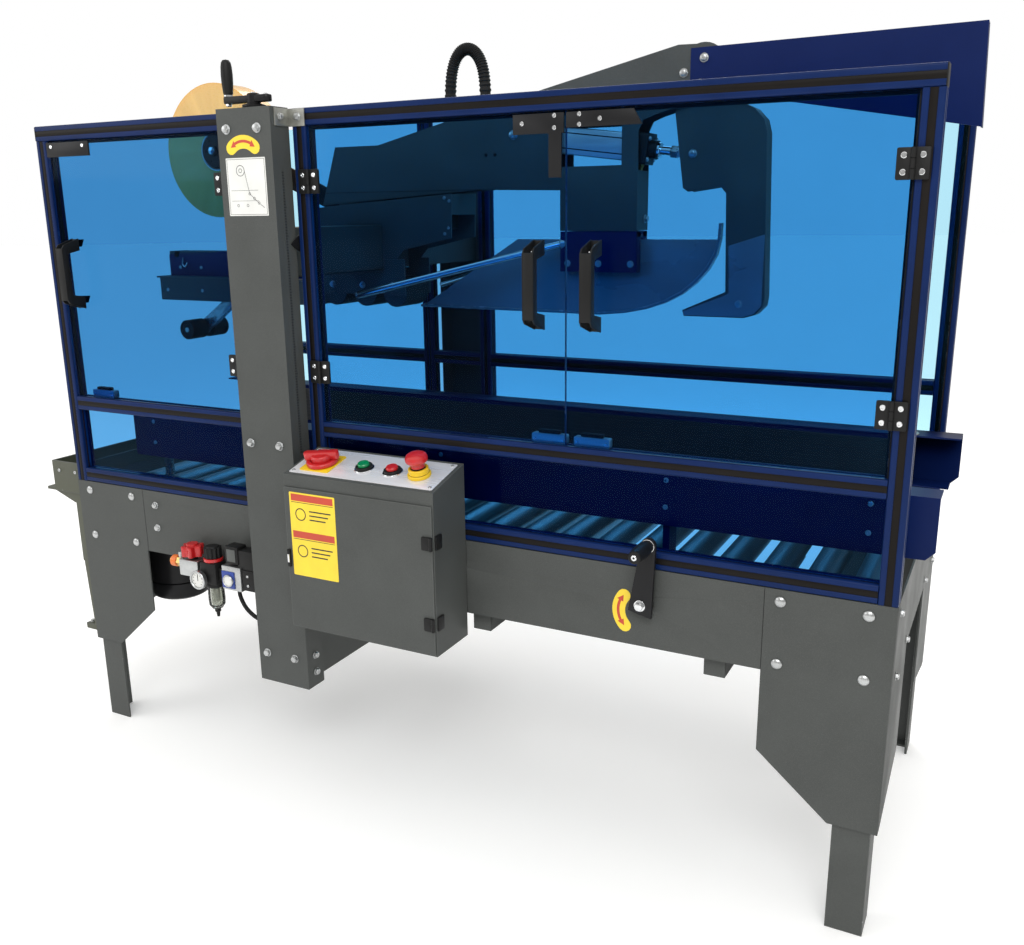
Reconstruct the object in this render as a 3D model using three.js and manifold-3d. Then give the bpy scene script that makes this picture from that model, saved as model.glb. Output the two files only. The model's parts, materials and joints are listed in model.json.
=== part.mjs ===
// A carton sealer: a roller bed on four telescopic legs, a blue profile guard with glass doors,
// two side belt guides, and a tape head with a flap folder that two columns carry.
// Millimetres. +X is the infeed end, -Y the operator's side, +Z up, the floor is Z = 0.
// Parts are laid out from the left front corner of the bed, and the whole machine is centred last.
import * as THREE from "three";
import { mergeVertices } from "three/addons/utils/BufferGeometryUtils.js";
import Module from "manifold-3d";

const wasm = await Module();
wasm.setup();

// Driving dimensions
const LENGTH = 1745; // bed and guard, along X
const DEPTH = 700; // bed and guard, along Y
const MID_Y = DEPTH / 2;
const SHEET = 3; // sheet metal
const GAP = 0.5; // between parts that are bolted face to face
const BED_TOP = 580; // top of the bed sides
const BED_BOTTOM = 440;
const GUSSET = { width: 197, foot: 78, bottom: 195, shoulder: 298 };
const PROFILE = 30; // guard extrusion
const GUARD_TOP = 1335;
const REAR_TOP = 1365; // top of the rear guard's posts
const FRONT_MID_RAIL = 773; // its top
const REAR_MID_RAIL = 815;
const BAY = { left: 538, right: 672 }; // inner ends of the two guard sections
const GLASS = 5;
const ROLLER = { r: 25, shaft: 6, z: 560, pitch: 75, first: 111.5, tray: 15, count: 22 };
const SCREW_X = 1349; // width screw, between two rollers
const GUIDE_ROD_X = 449;
const DRIVE_X = 149; // belt drive shafts, between two rollers
const IDLER_X = 1680; // belt idler pulleys
const CARRIAGE_Z = 521; // axis of the width screw and the guide rod
const CARRIAGE_ROD = { r: 8, bore: 8.4 };
const COLUMN = { x0: 544, x1: 666, depth: 49.5, bottom: 230, top: 1336 };
const LIFT = { x: 612, y: -25 }; // lift screw
const LEG = { size: 60, wall: 5, height: 480, insetX: 40, insetY: 35 };
const GUIDE = { outer: 100, inner: 155, bottom: 626, top: 727, right: 1782, frontLeft: 85, rearLeft: -40 };
const DOOR_BOTTOM = FRONT_MID_RAIL + 4;
const DOOR_TOP = GUARD_TOP - PROFILE - 4;
const DOOR_GAP_X = 1204; // between the two right-hand doors
const KICKER_PIVOT = [1330, 1390];
const ROD_EYE = [1305, 1251];
const CYLINDER_REAR = [950, 1297];
const ROLL = { x: 197, z: 1294, r: 145, core: 40, width: 72 };

// Materials
const material = (color, roughness, metalness) =>
  new THREE.MeshStandardMaterial({ color, roughness, metalness });
const greyPaint = material(0x5a5d5c, 0.6, 0.3);
const bluePaint = material(0x101c62, 0.35, 0.3);
const blueProfile = material(0x19326e, 0.4, 0.4);
const blackPlastic = material(0x141414, 0.5, 0);
const rubber = material(0x1c1c1c, 0.8, 0);
const zinc = material(0xb4b8ba, 0.3, 0.9);
const chrome = material(0xd8dcde, 0.12, 1);
const tape = material(0xe0c868, 0.3, 0);
const red = material(0xb81c1c, 0.4, 0);
const green = material(0x1c8a48, 0.4, 0);
const glass = new THREE.MeshStandardMaterial({
  color: 0x4095d7, roughness: 0.08, metalness: 0, transparent: true, opacity: 0.4,
});

// Solid modelling
function solid(geometry) {
  const bare = geometry.clone();
  bare.deleteAttribute("normal");
  bare.deleteAttribute("uv");
  const merged = mergeVertices(bare, 1e-4);
  return new wasm.Manifold(
    new wasm.Mesh({
      numProp: 3,
      vertProperties: new Float32Array(merged.attributes.position.array),
      triVerts: new Uint32Array(merged.index.array),
    }),
  );
}

function geometryOf(body) {
  const mesh = body.getMesh();
  const geometry = new THREE.BufferGeometry();
  geometry.setAttribute("position", new THREE.BufferAttribute(mesh.vertProperties, 3));
  geometry.setIndex(new THREE.BufferAttribute(mesh.triVerts, 1));
  return geometry.toNonIndexed();
}

function shape({ add, remove = [] }) {
  let body = solid(add[0]);
  for (const piece of add.slice(1)) body = body.add(solid(piece));
  for (const piece of remove) body = body.subtract(solid(piece));
  return geometryOf(body);
}

function box(x0, x1, y0, y1, z0, z1) {
  const geometry = new THREE.BoxGeometry(x1 - x0, y1 - y0, z1 - z0);
  return geometry.translate((x0 + x1) / 2, (y0 + y1) / 2, (z0 + z1) / 2);
}

// A cylinder along "x", "y" or "z" with the middle of its axis at (x, y, z)
function rod(axis, r, length, x, y, z, sides = 24) {
  const geometry = new THREE.CylinderGeometry(r, r, length, sides);
  if (axis === "x") geometry.rotateZ(-Math.PI / 2);
  if (axis === "z") geometry.rotateX(Math.PI / 2);
  return geometry.translate(x, y, z);
}

function outline(points) {
  return new THREE.Shape(points.map(([a, b]) => new THREE.Vector2(a, b)));
}

function extrude(profile, depth, curveSegments = 8) {
  return new THREE.ExtrudeGeometry(profile, { depth, bevelEnabled: false, curveSegments });
}

// An outline in X and Z, extruded from y0 to y1
const plateXZ = (profile, y0, y1) => extrude(profile, y1 - y0).rotateX(Math.PI / 2).translate(0, y1, 0);

// An outline in X and Y, extruded from z0 to z1
const plateXY = (profile, z0, z1) => extrude(profile, z1 - z0).translate(0, 0, z0);

// An outline in Y and Z, extruded from x0 to x1
function plateYZ(profile, x0, x1) {
  const turn = new THREE.Matrix4().makeBasis(
    new THREE.Vector3(0, 1, 0), new THREE.Vector3(0, 0, 1), new THREE.Vector3(1, 0, 0),
  );
  return extrude(profile, x1 - x0).applyMatrix4(turn).translate(x0, 0, 0);
}

// A straight round bar between two points
function bar(from, to, r, sides = 16) {
  const a = new THREE.Vector3(...from);
  const b = new THREE.Vector3(...to);
  const along = b.clone().sub(a);
  const geometry = new THREE.CylinderGeometry(r, r, along.length(), sides);
  const turn = new THREE.Quaternion().setFromUnitVectors(
    new THREE.Vector3(0, 1, 0), along.clone().normalize(),
  );
  geometry.applyQuaternion(turn);
  const mid = a.add(b).multiplyScalar(0.5);
  return geometry.translate(mid.x, mid.y, mid.z);
}

const machine = new THREE.Group();

function add(name, geometry, look, parent = machine) {
  const mesh = new THREE.Mesh(geometry, look);
  mesh.name = name;
  parent.add(mesh);
  return mesh;
}

// Bed: side and end sheets with their leg gussets, ties across, and the guide rod
function bedSide() {
  const right = LENGTH - GUSSET.width;
  const face = outline([
    [0, GUSSET.bottom], [GUSSET.foot, GUSSET.bottom], [GUSSET.width, GUSSET.shoulder],
    [GUSSET.width, BED_BOTTOM], [right, BED_BOTTOM], [right, GUSSET.shoulder],
    [LENGTH - GUSSET.foot, GUSSET.bottom], [LENGTH, GUSSET.bottom], [LENGTH, BED_TOP], [0, BED_TOP],
  ]);
  return [
    plateXZ(face, 0, SHEET),
    box(0, LENGTH, 0, 40, BED_TOP - SHEET, BED_TOP),
    box(GUSSET.width, right, 0, 40, BED_BOTTOM, BED_BOTTOM + SHEET),
  ];
}

function bedFrame() {
  const mirror = (geometry) => {
    const copy = geometry.clone().rotateZ(Math.PI);
    return copy.translate(LENGTH, DEPTH, 0);
  };
  const side = bedSide();
  const foot = 20;
  const leg = { width: 208, shoulder: 240 }; // the end sheet's own gussets
  const end = outline([
    [0, GUSSET.bottom], [foot, GUSSET.bottom], [leg.width, leg.shoulder], [leg.width, BED_BOTTOM],
    [DEPTH - leg.width, BED_BOTTOM], [DEPTH - leg.width, leg.shoulder], [DEPTH - foot, GUSSET.bottom],
    [DEPTH, GUSSET.bottom], [DEPTH, BED_TOP], [0, BED_TOP],
  ]);
  const ties = [1010, 1450].map((x) => box(x, x + 36, 20, DEPTH - 20, 402, BED_BOTTOM + 1));
  return shape({
    add: [
      ...side, ...side.map(mirror), ...ties, plateYZ(end, 0, SHEET), plateYZ(end, LENGTH - SHEET, LENGTH),
      rod("y", CARRIAGE_ROD.r, DEPTH - 2, GUIDE_ROD_X, MID_Y, CARRIAGE_Z),
    ],
    remove: [rod("y", CARRIAGE_ROD.r + 3, 20, SCREW_X, 0, CARRIAGE_Z)],
  });
}

// A leg is an angle whose walls face outwards, with a small square sole in its corner
function legGeometry(endSide, frontSide) {
  const { size, wall, height } = LEG;
  const half = size / 2;
  const span = (side) => [side * half, side * (half - wall)].sort((a, b) => a - b);
  const corner = (side) => [0, side * half].sort((a, b) => a - b);
  return shape({
    add: [
      box(-half, half, ...span(frontSide), 0, height),
      box(...span(endSide), -half, half, 0, height),
      box(...corner(endSide), ...corner(frontSide), 0, wall),
    ],
  });
}

function buildBed() {
  add("bed_frame", bedFrame(), greyPaint);
  for (const [end, x, endSide] of [["left", LEG.insetX, -1], ["right", LENGTH - LEG.insetX, 1]])
    for (const [side, y, frontSide] of [["front", LEG.insetY, -1], ["rear", DEPTH - LEG.insetY, 1]])
      add(`leg_${side}_${end}`, legGeometry(endSide, frontSide), greyPaint).position.set(x, y, 0);
}

// Rollers: the outfeed ones sit in a tray, the infeed ones run in the bed itself
// Each roller is a tube on a shaft, open at both ends, with a web at mid length
function rollerGeometry(x, sides) {
  const half = (DEPTH - 88) / 2;
  const bores = [-1, 1].map((end) =>
    rod("y", ROLLER.r - 2, half, x, MID_Y + end * (half / 2 + 5), ROLLER.z, sides));
  const tube = shape({ add: [rod("y", ROLLER.r, 2 * half, x, MID_Y, ROLLER.z, sides)], remove: bores });
  return shape({ add: [tube, rod("y", ROLLER.shaft, DEPTH - 10, x, MID_Y, ROLLER.z, 6)] });
}

function buildRollers() {
  const last = ROLLER.first + ROLLER.pitch * (ROLLER.tray - 1);
  const strips = [7, DEPTH - 11].map((y) => box(ROLLER.first - 20, last + 20, y, y + 4, 548, 572));
  const tray = [...strips];
  for (let i = 0; i < ROLLER.tray; i++) tray.push(rollerGeometry(ROLLER.first + i * ROLLER.pitch, 12));
  add("outfeed_roller_tray", shape({ add: tray }), zinc);
  const single = rollerGeometry(0, 20);
  for (let i = ROLLER.tray; i < ROLLER.count; i++)
    add(`infeed_roller_${i - ROLLER.tray + 1}`, single, zinc).position.x = ROLLER.first + i * ROLLER.pitch;
}

// Columns: C sections open towards the machine, with a base and a cap
function columnGeometry(withScrewHole) {
  const { x0, x1, depth, bottom, top } = COLUMN;
  const back = -0.5;
  const front = back - depth;
  const hole = withScrewHole ? [rod("z", 11, 20, LIFT.x, LIFT.y, top)] : [];
  return shape({
    add: [box(x0, x1, front, back, bottom, top)],
    remove: [box(x0 + SHEET, x1 - SHEET, front + SHEET, 1, bottom + SHEET, top - SHEET), ...hole],
  });
}

function buildColumns() {
  add("front_column", columnGeometry(true), greyPaint);
  const rear = add("rear_column", columnGeometry(false), greyPaint);
  rear.rotation.z = Math.PI;
  rear.position.set(COLUMN.x0 + COLUMN.x1, DEPTH, 0);
  const crossbeam = shape({
    add: [box(560, 650, 0, DEPTH, 236, 326)],
    remove: [box(564, 646, -1, DEPTH + 1, 240, 322)],
  });
  add("column_crossbeam", crossbeam, greyPaint);
}

// Guard frames: a plate of profile thickness with window openings between its posts and rails
function guardFrame(x0, x1, posts, rails, y, top = GUARD_TOP) {
  const windows = [];
  for (let i = 0; i + 1 < posts.length; i++)
    for (let j = 0; j + 1 < rails.length; j++)
      windows.push(box(posts[i][1], posts[i + 1][0], y - 1, y + PROFILE + 1, rails[j][1], rails[j + 1][0]));
  return shape({ add: [box(x0, x1, y, y + PROFILE, BED_TOP + GAP, top)], remove: windows });
}

const bottomRail = [BED_TOP + GAP, BED_TOP + PROFILE];
const topRail = [GUARD_TOP - PROFILE, GUARD_TOP];
const frontRails = [bottomRail, [FRONT_MID_RAIL - PROFILE, FRONT_MID_RAIL], topRail];
const aboveRear = [REAR_TOP + 1, REAR_TOP + 2]; // the rear guard is open at its top
const rearRails = [bottomRail, [REAR_MID_RAIL - PROFILE, REAR_MID_RAIL], aboveRear];
const leftPosts = [[0, PROFILE], [BAY.left - PROFILE, BAY.left]];
const rightPosts = [[BAY.right, BAY.right + PROFILE], [LENGTH - PROFILE, LENGTH]];

function buildGuard() {
  const rearPosts = [...leftPosts, ...rightPosts];
  add("front_left_guard", guardFrame(0, BAY.left, leftPosts, frontRails, 0), blueProfile);
  add("front_right_guard", guardFrame(BAY.right, LENGTH, rightPosts, frontRails, 0), blueProfile);
  const rearFrame = guardFrame(0, LENGTH, rearPosts, rearRails, DEPTH - PROFILE, REAR_TOP);
  add("rear_guard", rearFrame, blueProfile);

  const low = BED_TOP + PROFILE + GAP;
  const high = FRONT_MID_RAIL - PROFILE - GAP;
  const pane = (name, x0, x1, z0, z1, y) => add(name, box(x0, x1, y, y + GLASS, z0, z1), glass);
  pane("front_lower_glass_left", PROFILE + GAP, BAY.left - PROFILE - GAP, low, high, 12);
  pane("front_lower_glass_right", BAY.right + PROFILE + GAP, LENGTH - PROFILE - GAP, low, high, 12);
  const rearPaneY = DEPTH - PROFILE - GAP - GLASS;
  pane("rear_glass_left", 12, BAY.left - 12, BED_TOP + 12, REAR_TOP - 1, rearPaneY);
  pane("rear_glass_right", BAY.right + 12, LENGTH - 12, BED_TOP + 12, REAR_TOP - 1, rearPaneY);
}

// Doors: an inset pane with the two moving hinge halves on its hinge edge
function doorGeometry(x0, x1, hingeAt) {
  const hingeX = hingeAt === "left" ? x0 : x1;
  const inward = hingeAt === "left" ? 1 : -1;
  const halves = [DOOR_BOTTOM + 70, DOOR_TOP - 112].map((z) => {
    const edges = [hingeX - 2 * inward, hingeX + 20 * inward].sort((a, b) => a - b);
    return box(edges[0], edges[1], -5, 2, z, z + 42);
  });
  return shape({ add: [box(x0, x1, 1, 1 + GLASS, DOOR_BOTTOM, DOOR_TOP), ...halves] });
}

function handleGeometry() {
  const side = outline([
    [-44, -72], [0.5, -72], [0.5, -54], [-30, -54], [-30, 54], [0.5, 54], [0.5, 72], [-44, 72],
  ]);
  return plateYZ(side, -10, 10);
}

function buildDoors() {
  const doors = [
    { name: "left_door", x0: PROFILE + 4, x1: BAY.left - PROFILE - 4, hinge: "right", handleX: 84 },
    { name: "middle_door", x0: BAY.right + PROFILE + 4, x1: DOOR_GAP_X - 2, hinge: "left", handleX: 1158 },
    { name: "right_door", x0: DOOR_GAP_X + 2, x1: LENGTH - PROFILE - 4, hinge: "right", handleX: 1257 },
  ];
  const handle = handleGeometry();
  for (const { name, x0, x1, hinge, handleX } of doors) {
    add(name, doorGeometry(x0, x1, hinge), glass);
    add(`${name}_handle`, handle, blackPlastic).position.set(handleX, 0, 1038);
  }
}

// Side belt guides, built for the front side and mirrored about the middle for the rear one
function guideGeometry(left) {
  const { outer, inner, bottom, top, right } = GUIDE;
  const endPlate = [
    [left, bottom], [right - 14, bottom], [right, bottom + 14], [right, top], [left, top],
  ];
  const riser = (x) => [
    box(x - 6, x + 6, outer + 8, inner - 7, CARRIAGE_Z, bottom + SHEET),
    box(x - 12, x + 12, outer + 8, inner - 7, 507, 533),
  ];
  const beltY = outer + 41;
  return shape({
    add: [
      plateXZ(outline(endPlate), outer, outer + SHEET),
      box(left, right, outer, inner, top - SHEET, top),
      box(left, right - 14, outer, inner, bottom, bottom + SHEET),
      ...riser(SCREW_X),
      ...riser(GUIDE_ROD_X),
      rod("z", 17.5, top - bottom - 2, DRIVE_X, beltY, (top + bottom) / 2),
      rod("z", 17.5, top - bottom - 2, IDLER_X, beltY, (top + bottom) / 2),
      box(DRIVE_X + 30, IDLER_X - 30, inner - 5, inner - 1, bottom, top), // backs the belt
    ],
    remove: [
      rod("y", CARRIAGE_ROD.bore, 200, SCREW_X, 130, CARRIAGE_Z),
      rod("y", CARRIAGE_ROD.bore, 200, GUIDE_ROD_X, 130, CARRIAGE_Z),
    ],
  });
}

function stadium(x0, x1, y, r) {
  const path = new THREE.Shape();
  path.absarc(x0, y, r, Math.PI / 2, (3 * Math.PI) / 2, false);
  path.absarc(x1, y, r, -Math.PI / 2, Math.PI / 2, false);
  path.closePath();
  return path;
}

function beltGeometry() {
  const y = GUIDE.outer + 41;
  return shape({
    add: [plateXY(stadium(DRIVE_X, IDLER_X, y, 22), GUIDE.bottom + 9, GUIDE.top - 9)],
    remove: [plateXY(stadium(DRIVE_X, IDLER_X, y, 18), GUIDE.bottom, GUIDE.top)],
  });
}

function motorGeometry() {
  const y = GUIDE.outer + 32;
  return shape({
    add: [
      rod("z", 70, 138, DRIVE_X, y, 359, 40),
      box(DRIVE_X - 42, DRIVE_X + 42, y - 40, y + 40, 427, 498),
      rod("z", 10, 130, DRIVE_X, y, 560.5, 16),
    ],
  });
}

function buildGuides() {
  const sides = [["front", GUIDE.frontLeft, 1, 0], ["rear", GUIDE.rearLeft, -1, DEPTH]];
  for (const [side, left, mirror, y] of sides) {
    const guide = new THREE.Group();
    guide.scale.y = mirror;
    guide.position.y = y;
    machine.add(guide);
    add(`${side}_guide`, guideGeometry(left), bluePaint, guide);
    add(`${side}_belt`, beltGeometry(), rubber, guide);
    add(`${side}_belt_motor`, motorGeometry(), blackPlastic, guide);
  }
}

// Cranks: each turns its own screw
function buildCranks() {
  const widthArm = outline([
    [-19, -10], [-14, -18], [20, -18], [26, -9], [25, 105], [20, 118], [4, 118], [-2, 110], [-19, -2],
  ]);
  const width = shape({
    add: [
      rod("y", CARRIAGE_ROD.r, 702, 0, 339, 0),
      rod("y", 20, 8, 0, -10, 0),
      plateXZ(widthArm, -20, -12),
      rod("y", 13, 70, 12, -51, 106),
    ],
  });
  add("width_crank", width, blackPlastic).position.set(SCREW_X, 0, CARRIAGE_Z);

  const lift = shape({
    add: [
      rod("z", 8, 930, 0, 0, 884),
      rod("z", 12, 22, 0, 0, 1350),
      box(-66, 38, -9, 9, 1346, 1358),
      rod("z", 10.5, 66, -57, 0, 1388),
    ],
  });
  add("lift_crank", lift, blackPlastic).position.set(LIFT.x, LIFT.y, 0);
}

// Control box: a folded shell with a sloping console, a door and four operators on the console
const CONTROL = { x0: 690, x1: 1010, front: -110, back: -3, bottom: 397, frontTop: 696, rearTop: 724 };

function buildControlBox() {
  const { x0, x1, front, back, bottom, frontTop, rearTop } = CONTROL;
  const outer = outline([[front, bottom], [back, bottom], [back, rearTop], [front, frontTop]]);
  const inner = outline([
    [front + SHEET, bottom + SHEET], [back - SHEET, bottom + SHEET],
    [back - SHEET, rearTop - 5], [front + SHEET, frontTop - 4],
  ]);
  const slope = Math.atan2(rearTop - frontTop, back - front);
  const place = (x, y) => {
    const holder = new THREE.Group();
    holder.position.set(x, y, frontTop + (y - front) * Math.tan(slope));
    holder.rotation.x = slope;
    machine.add(holder);
    return holder;
  };
  // An upright cylinder from z0 to z1 above the console, tilted with it
  const onConsole = (x, y, r, z0, z1) => {
    const geometry = rod("z", r, z1 - z0, 0, 0, (z0 + z1) / 2, 24);
    geometry.rotateX(slope);
    return geometry.translate(x, y, frontTop + (y - front) * Math.tan(slope));
  };
  const rowY = -62;
  const [switchX, startX, stopX, emergencyX] = [746, 838, 899, 955];
  add("control_box", shape({
    add: [
      plateYZ(outer, x0, x1),
      onConsole(startX, rowY, 14, -2, 8), onConsole(stopX, rowY, 14, -2, 8),
      onConsole(emergencyX, rowY, 18, -2, 14),
    ],
    remove: [
      plateYZ(inner, x0 + SHEET, x1 - SHEET),
      box(x0 + 10, x1 - 10, front - 1, front + 9, bottom + 10, 664),
      onConsole(startX, rowY, 12, 4, 9), onConsole(stopX, rowY, 12, 4, 9),
    ],
  }), greyPaint);
  add("control_box_door", box(x0 + 2, x1 - 2, front - 3.5, front - GAP, bottom + 3, 673), greyPaint);

  const dial = shape({
    add: [rod("z", 29, 8, 0, 0, 4.5, 32), rod("z", 20, 20, 0, 0, 14, 32), box(-34, 34, -8, 8, 8, 27)],
  });
  add("main_switch", dial, red, place(switchX, rowY));
  const button = rod("z", 11, 6, 0, 0, 11.5, 24);
  add("start_button", button, green, place(startX, rowY));
  add("stop_button", button, red, place(stopX, rowY));
  const mushroom = new THREE.LatheGeometry(
    [[0, 0], [13, 0], [13, 8], [20, 12], [20, 20], [15, 25], [0, 26]]
      .map(([r, z]) => new THREE.Vector2(r, z)), 28,
  );
  mushroom.rotateX(Math.PI / 2).translate(0, 0, 20);
  add("emergency_stop", mushroom, red, place(emergencyX, rowY));
}

// Air preparation unit, bolted to the column's side below the bed
function buildAirUnit() {
  const y = -30;
  const unit = shape({
    add: [
      box(345, COLUMN.x0 - GAP, y - 16, y + 16, 419, 455),
      rod("x", 12, 46, 325, y, 437),
      box(402, 438, y - 20, y + 20, 411, 467),
      rod("z", 19, 60, 420, y, 385),
      rod("z", 6, 20, 420, y, 347),
      rod("y", 20, 16, 386, y - 22, 435),
      box(458, 508, y - 20, y + 18, 413, 471),
      box(470, 502, y - 16, y + 12, 465, 507),
    ],
  });
  add("air_unit", unit, blackPlastic);
  const lobes = [0, 1, 2, 3, 4, 5].map((i) => {
    const angle = (i * Math.PI) / 3;
    return rod("z", 7, 20, 13 * Math.cos(angle), 13 * Math.sin(angle), 10, 8);
  });
  const knob = shape({ add: [rod("z", 14, 26, 0, 0, 13), ...lobes] });
  add("regulator_knob", knob, red).position.set(420, y, 468);
}

// Outfeed bracket: a cross channel on a flange, with two posts that hold it to the bed end
function buildOutfeedBracket() {
  const post = outline([
    [-44, 542], [-44, 373], [-41, 373], [-32, 221], [-32, 213], [-61, 213], [-61, 199], [-14, 199],
    [-14, 213], [-GAP, 213], [-GAP, 542],
  ]);
  const gusset = outline([[-120, 542], [-47, 514], [-40, 514], [-40, 542]]);
  const braces = [22, DEPTH - 58].flatMap((y) => [plateXZ(post, y, y + 36), plateXZ(gusset, y, y + 36)]);
  add("outfeed_bracket", shape({
    add: [
      box(-122, -GAP, 12, DEPTH - 12, 541, 548), box(-96, -GAP, 12, DEPTH - 12, 541, 613), ...braces,
    ],
    remove: [box(-92, -4.5, 16, DEPTH - 16, 549, 620)],
  }), greyPaint);
}

// The head: everything below rides up and down the columns
function headCarrier() {
  const web = 4;
  const { x0, x1 } = COLUMN;
  const frontBlock = box(x0 + 8, x1 - 8, -44, -2, 1040, 1170);
  const rearBlock = box(x0 + 8, x1 - 8, DEPTH + 2, DEPTH + 44, 1040, 1170);
  return shape({
    add: [
      box(562, 648, -4, DEPTH + 4, 1040, 1130), frontBlock, rearBlock, box(570, 640, 325, 375, 1128, 1250),
    ],
    remove: [
      box(562 + web, 648 - web, 0, DEPTH, 1030, 1130 - web),
      rod("z", 9.5, 400, LIFT.x, LIFT.y, 1100),
      box(574, 636, 329, 371, 1120, 1246),
    ],
  });
}

function mastOutline(dx = 0, dz = 0) {
  const path = new THREE.Shape();
  const start = [[485, 1172], [525, 1290], [635, 1290], [836, 1337], [1025, 1379], [1276, 1433]];
  path.moveTo(start[0][0] + dx, start[0][1] + dz);
  for (const [x, z] of start.slice(1)) path.lineTo(x + dx, z + dz);
  path.absarc(1322 + dx, 1393 + dz, 41, Math.PI * 0.6, -Math.PI * 0.35, true);
  const end = [
    [1300, 1337], [1234, 1320], [1213, 1312], [1205, 1295], [1205, 1117], [1049, 1117], [1049, 1193],
    [878, 1197],
  ];
  for (const [x, z] of end) path.lineTo(x + dx, z + dz);
  path.closePath();
  return path;
}

function mastChannel() {
  return shape({
    add: [plateXZ(mastOutline(), 320, 380)],
    remove: [
      plateXZ(mastOutline(-4, -4), 323, 377),
      plateXZ(mastOutline(-4, -12), 323, 377),
      box(1285, 1400, 323, 377, 1300, 1450),
      box(1052, 1202, 323, 377, 1100, 1200),
      box(1051, 1173, 310, 390, 1235, 1307),
      box(1190, 1215, 323, 377, 1225, 1330),
      box(566, 644, 323, 377, 1160, 1255),
    ],
  });
}

function tapeHead() {
  const side = outline([
    [463, 985], [475, 1166], [820, 1190], [817, 1104], [700, 1079], [655, 1031], [648, 988],
  ]);
  const inner = outline([
    [459, 960], [471, 1162], [816, 1186], [822, 1100], [700, 1070], [655, 1021], [648, 960],
  ]);
  const rollers = [515, 594, 671].flatMap((x) => [
    rod("y", 30, 84, x, MID_Y, 991, 20),
    rod("y", 6, 102, x, MID_Y, 991, 8),
  ]);
  const shell = shape({
    add: [plateXZ(side, 300, 400)],
    remove: [
      plateXZ(inner, 303, 397),
      box(561, 649, 290, 410, 1039, 1131),
      box(569, 641, 324, 376, 1100, 1260),
    ],
  });
  const hanger = [box(650, 702, 299, 303, 985, 1060), box(650, 702, 397, 401, 985, 1060)];
  return shape({ add: [shell, ...hanger, ...rollers] });
}

function headChannel() {
  return shape({
    add: [
      box(0, 460, 300, 400, 958, 1014), box(-6, 460, 296, 404, 1010, 1014),
      box(14, 440, 325, 375, 1012, 1072),
    ],
    remove: [
      box(3, 457, 303, 397, 950, 1010),
      box(17, 437, 328, 372, 950, 1069),
      box(30, 46, 320, 380, 1058, 1080),
    ],
  });
}

function pressRoller() {
  return shape({
    add: [
      rod("y", 23, 120, -123, 0, -86, 28),
      rod("y", 13, 20, 0, 0, 0, 20),
      plateXZ(outline([[-8, 12], [12, -6], [-112, -98], [-132, -76]]), -8, 8),
    ],
  });
}

function ski() {
  const edge = [
    [1358, 1101], [1352, 1073], [1338, 1047], [1316, 1022], [1290, 1001], [1258, 984], [1220, 971],
    [1176, 962], [1122, 957], [712, 960],
  ];
  const plate = outline([...edge, [944, 1101]]);
  const lifted = edge.slice(0, -1).reverse().map(([x, z]) => [x - 5, z + 4]);
  const runner = outline([[1359, 1130], ...edge, [712, 965], ...lifted, [1354, 1130]]);
  return shape({ add: [plateXZ(plate, 347, 353), plateXZ(runner, 342, 358)] });
}

function sideFlapRods() {
  const pair = [1, -1].map((side) =>
    bar([1063, MID_Y - side * 18, 1095], [660, MID_Y - side * 165, 994], 7));
  return shape({
    add: [box(1049, 1205, 320, 380, 1040, 1116), ...pair],
    remove: [box(1000, 1250, 345, 355, 1030, 1104)],
  });
}

function infeedPanel() {
  const face = outline([[1300, 1352], [1485, 1326], [1774, 1274], [1769, 1429], [1300, 1425]]);
  const flange = outline([[1771, 1275], [1774, 1274], [1769, 1429], [1766, 1429]]);
  return shape({ add: [plateXZ(face, 316.5, 319.5), plateXZ(flange, 316.5, 350)] });
}

function kickerOutline(dx = 0, dz = 0) {
  const path = new THREE.Shape();
  const [px, pz] = KICKER_PIVOT;
  path.moveTo(px - 26 + dx, pz + dz);
  path.absarc(px + dx, pz + dz, 26, Math.PI, 0, true);
  const side = [
    [1390, 1333], [1413, 1322], [1430, 1304], [1436, 1282], [1446, 1000], [1444, 983], [1430, 968],
    [1410, 962], [1297, 962], [1294, 973], [1374, 1008], [1368, 1181], [1358, 1193], [1298, 1185],
    [1288, 1192], [1269, 1328],
  ];
  for (const [x, z] of side) path.lineTo(x + dx, z + dz);
  path.closePath();
  return path;
}

function kickerArm() {
  return shape({
    add: [plateXZ(kickerOutline(), 331, 369), rod("y", 9, 53, KICKER_PIVOT[0], MID_Y, KICKER_PIVOT[1], 20)],
    remove: [
      plateXZ(kickerOutline(-5, -5), 335, 365),
      plateXZ(kickerOutline(-12, -10), 335, 365),
      box(1230, 1340, 335, 365, 1190, 1340),
    ],
  });
}

// The air cylinder is drawn along its own +X axis from its rear pivot, then tilted into place
const CYLINDER_TILT = Math.atan2(CYLINDER_REAR[1] - ROD_EYE[1], ROD_EYE[0] - CYLINDER_REAR[0]);
const ROD_LENGTH = Math.hypot(ROD_EYE[0] - CYLINDER_REAR[0], ROD_EYE[1] - CYLINDER_REAR[1]);

function cylinderBody() {
  return shape({
    add: [
      box(50, 242, -22, 22, -25, 25),
      box(20, 54, -24, 24, -28, 28),
      box(238, 272, -24, 24, -28, 28),
      rod("x", 17, 16, 279, 0, 0, 24),
      rod("y", 12, 30, 0, 0, 0, 20),
      box(0, 24, -15, 15, -12, 12),
    ],
    remove: [rod("x", 8.6, 232, 174, 0, 0, 20)],
  });
}

function cylinderRod() {
  const start = 66;
  return shape({
    add: [
      rod("x", 8, ROD_LENGTH - start - 8, (ROD_LENGTH + start - 8) / 2, 0, 0, 20),
      rod("y", 14, 18, ROD_LENGTH, 0, 0, 20),
      rod("x", 11, 12, ROD_LENGTH - 36, 0, 0, 6),
    ],
  });
}

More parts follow.
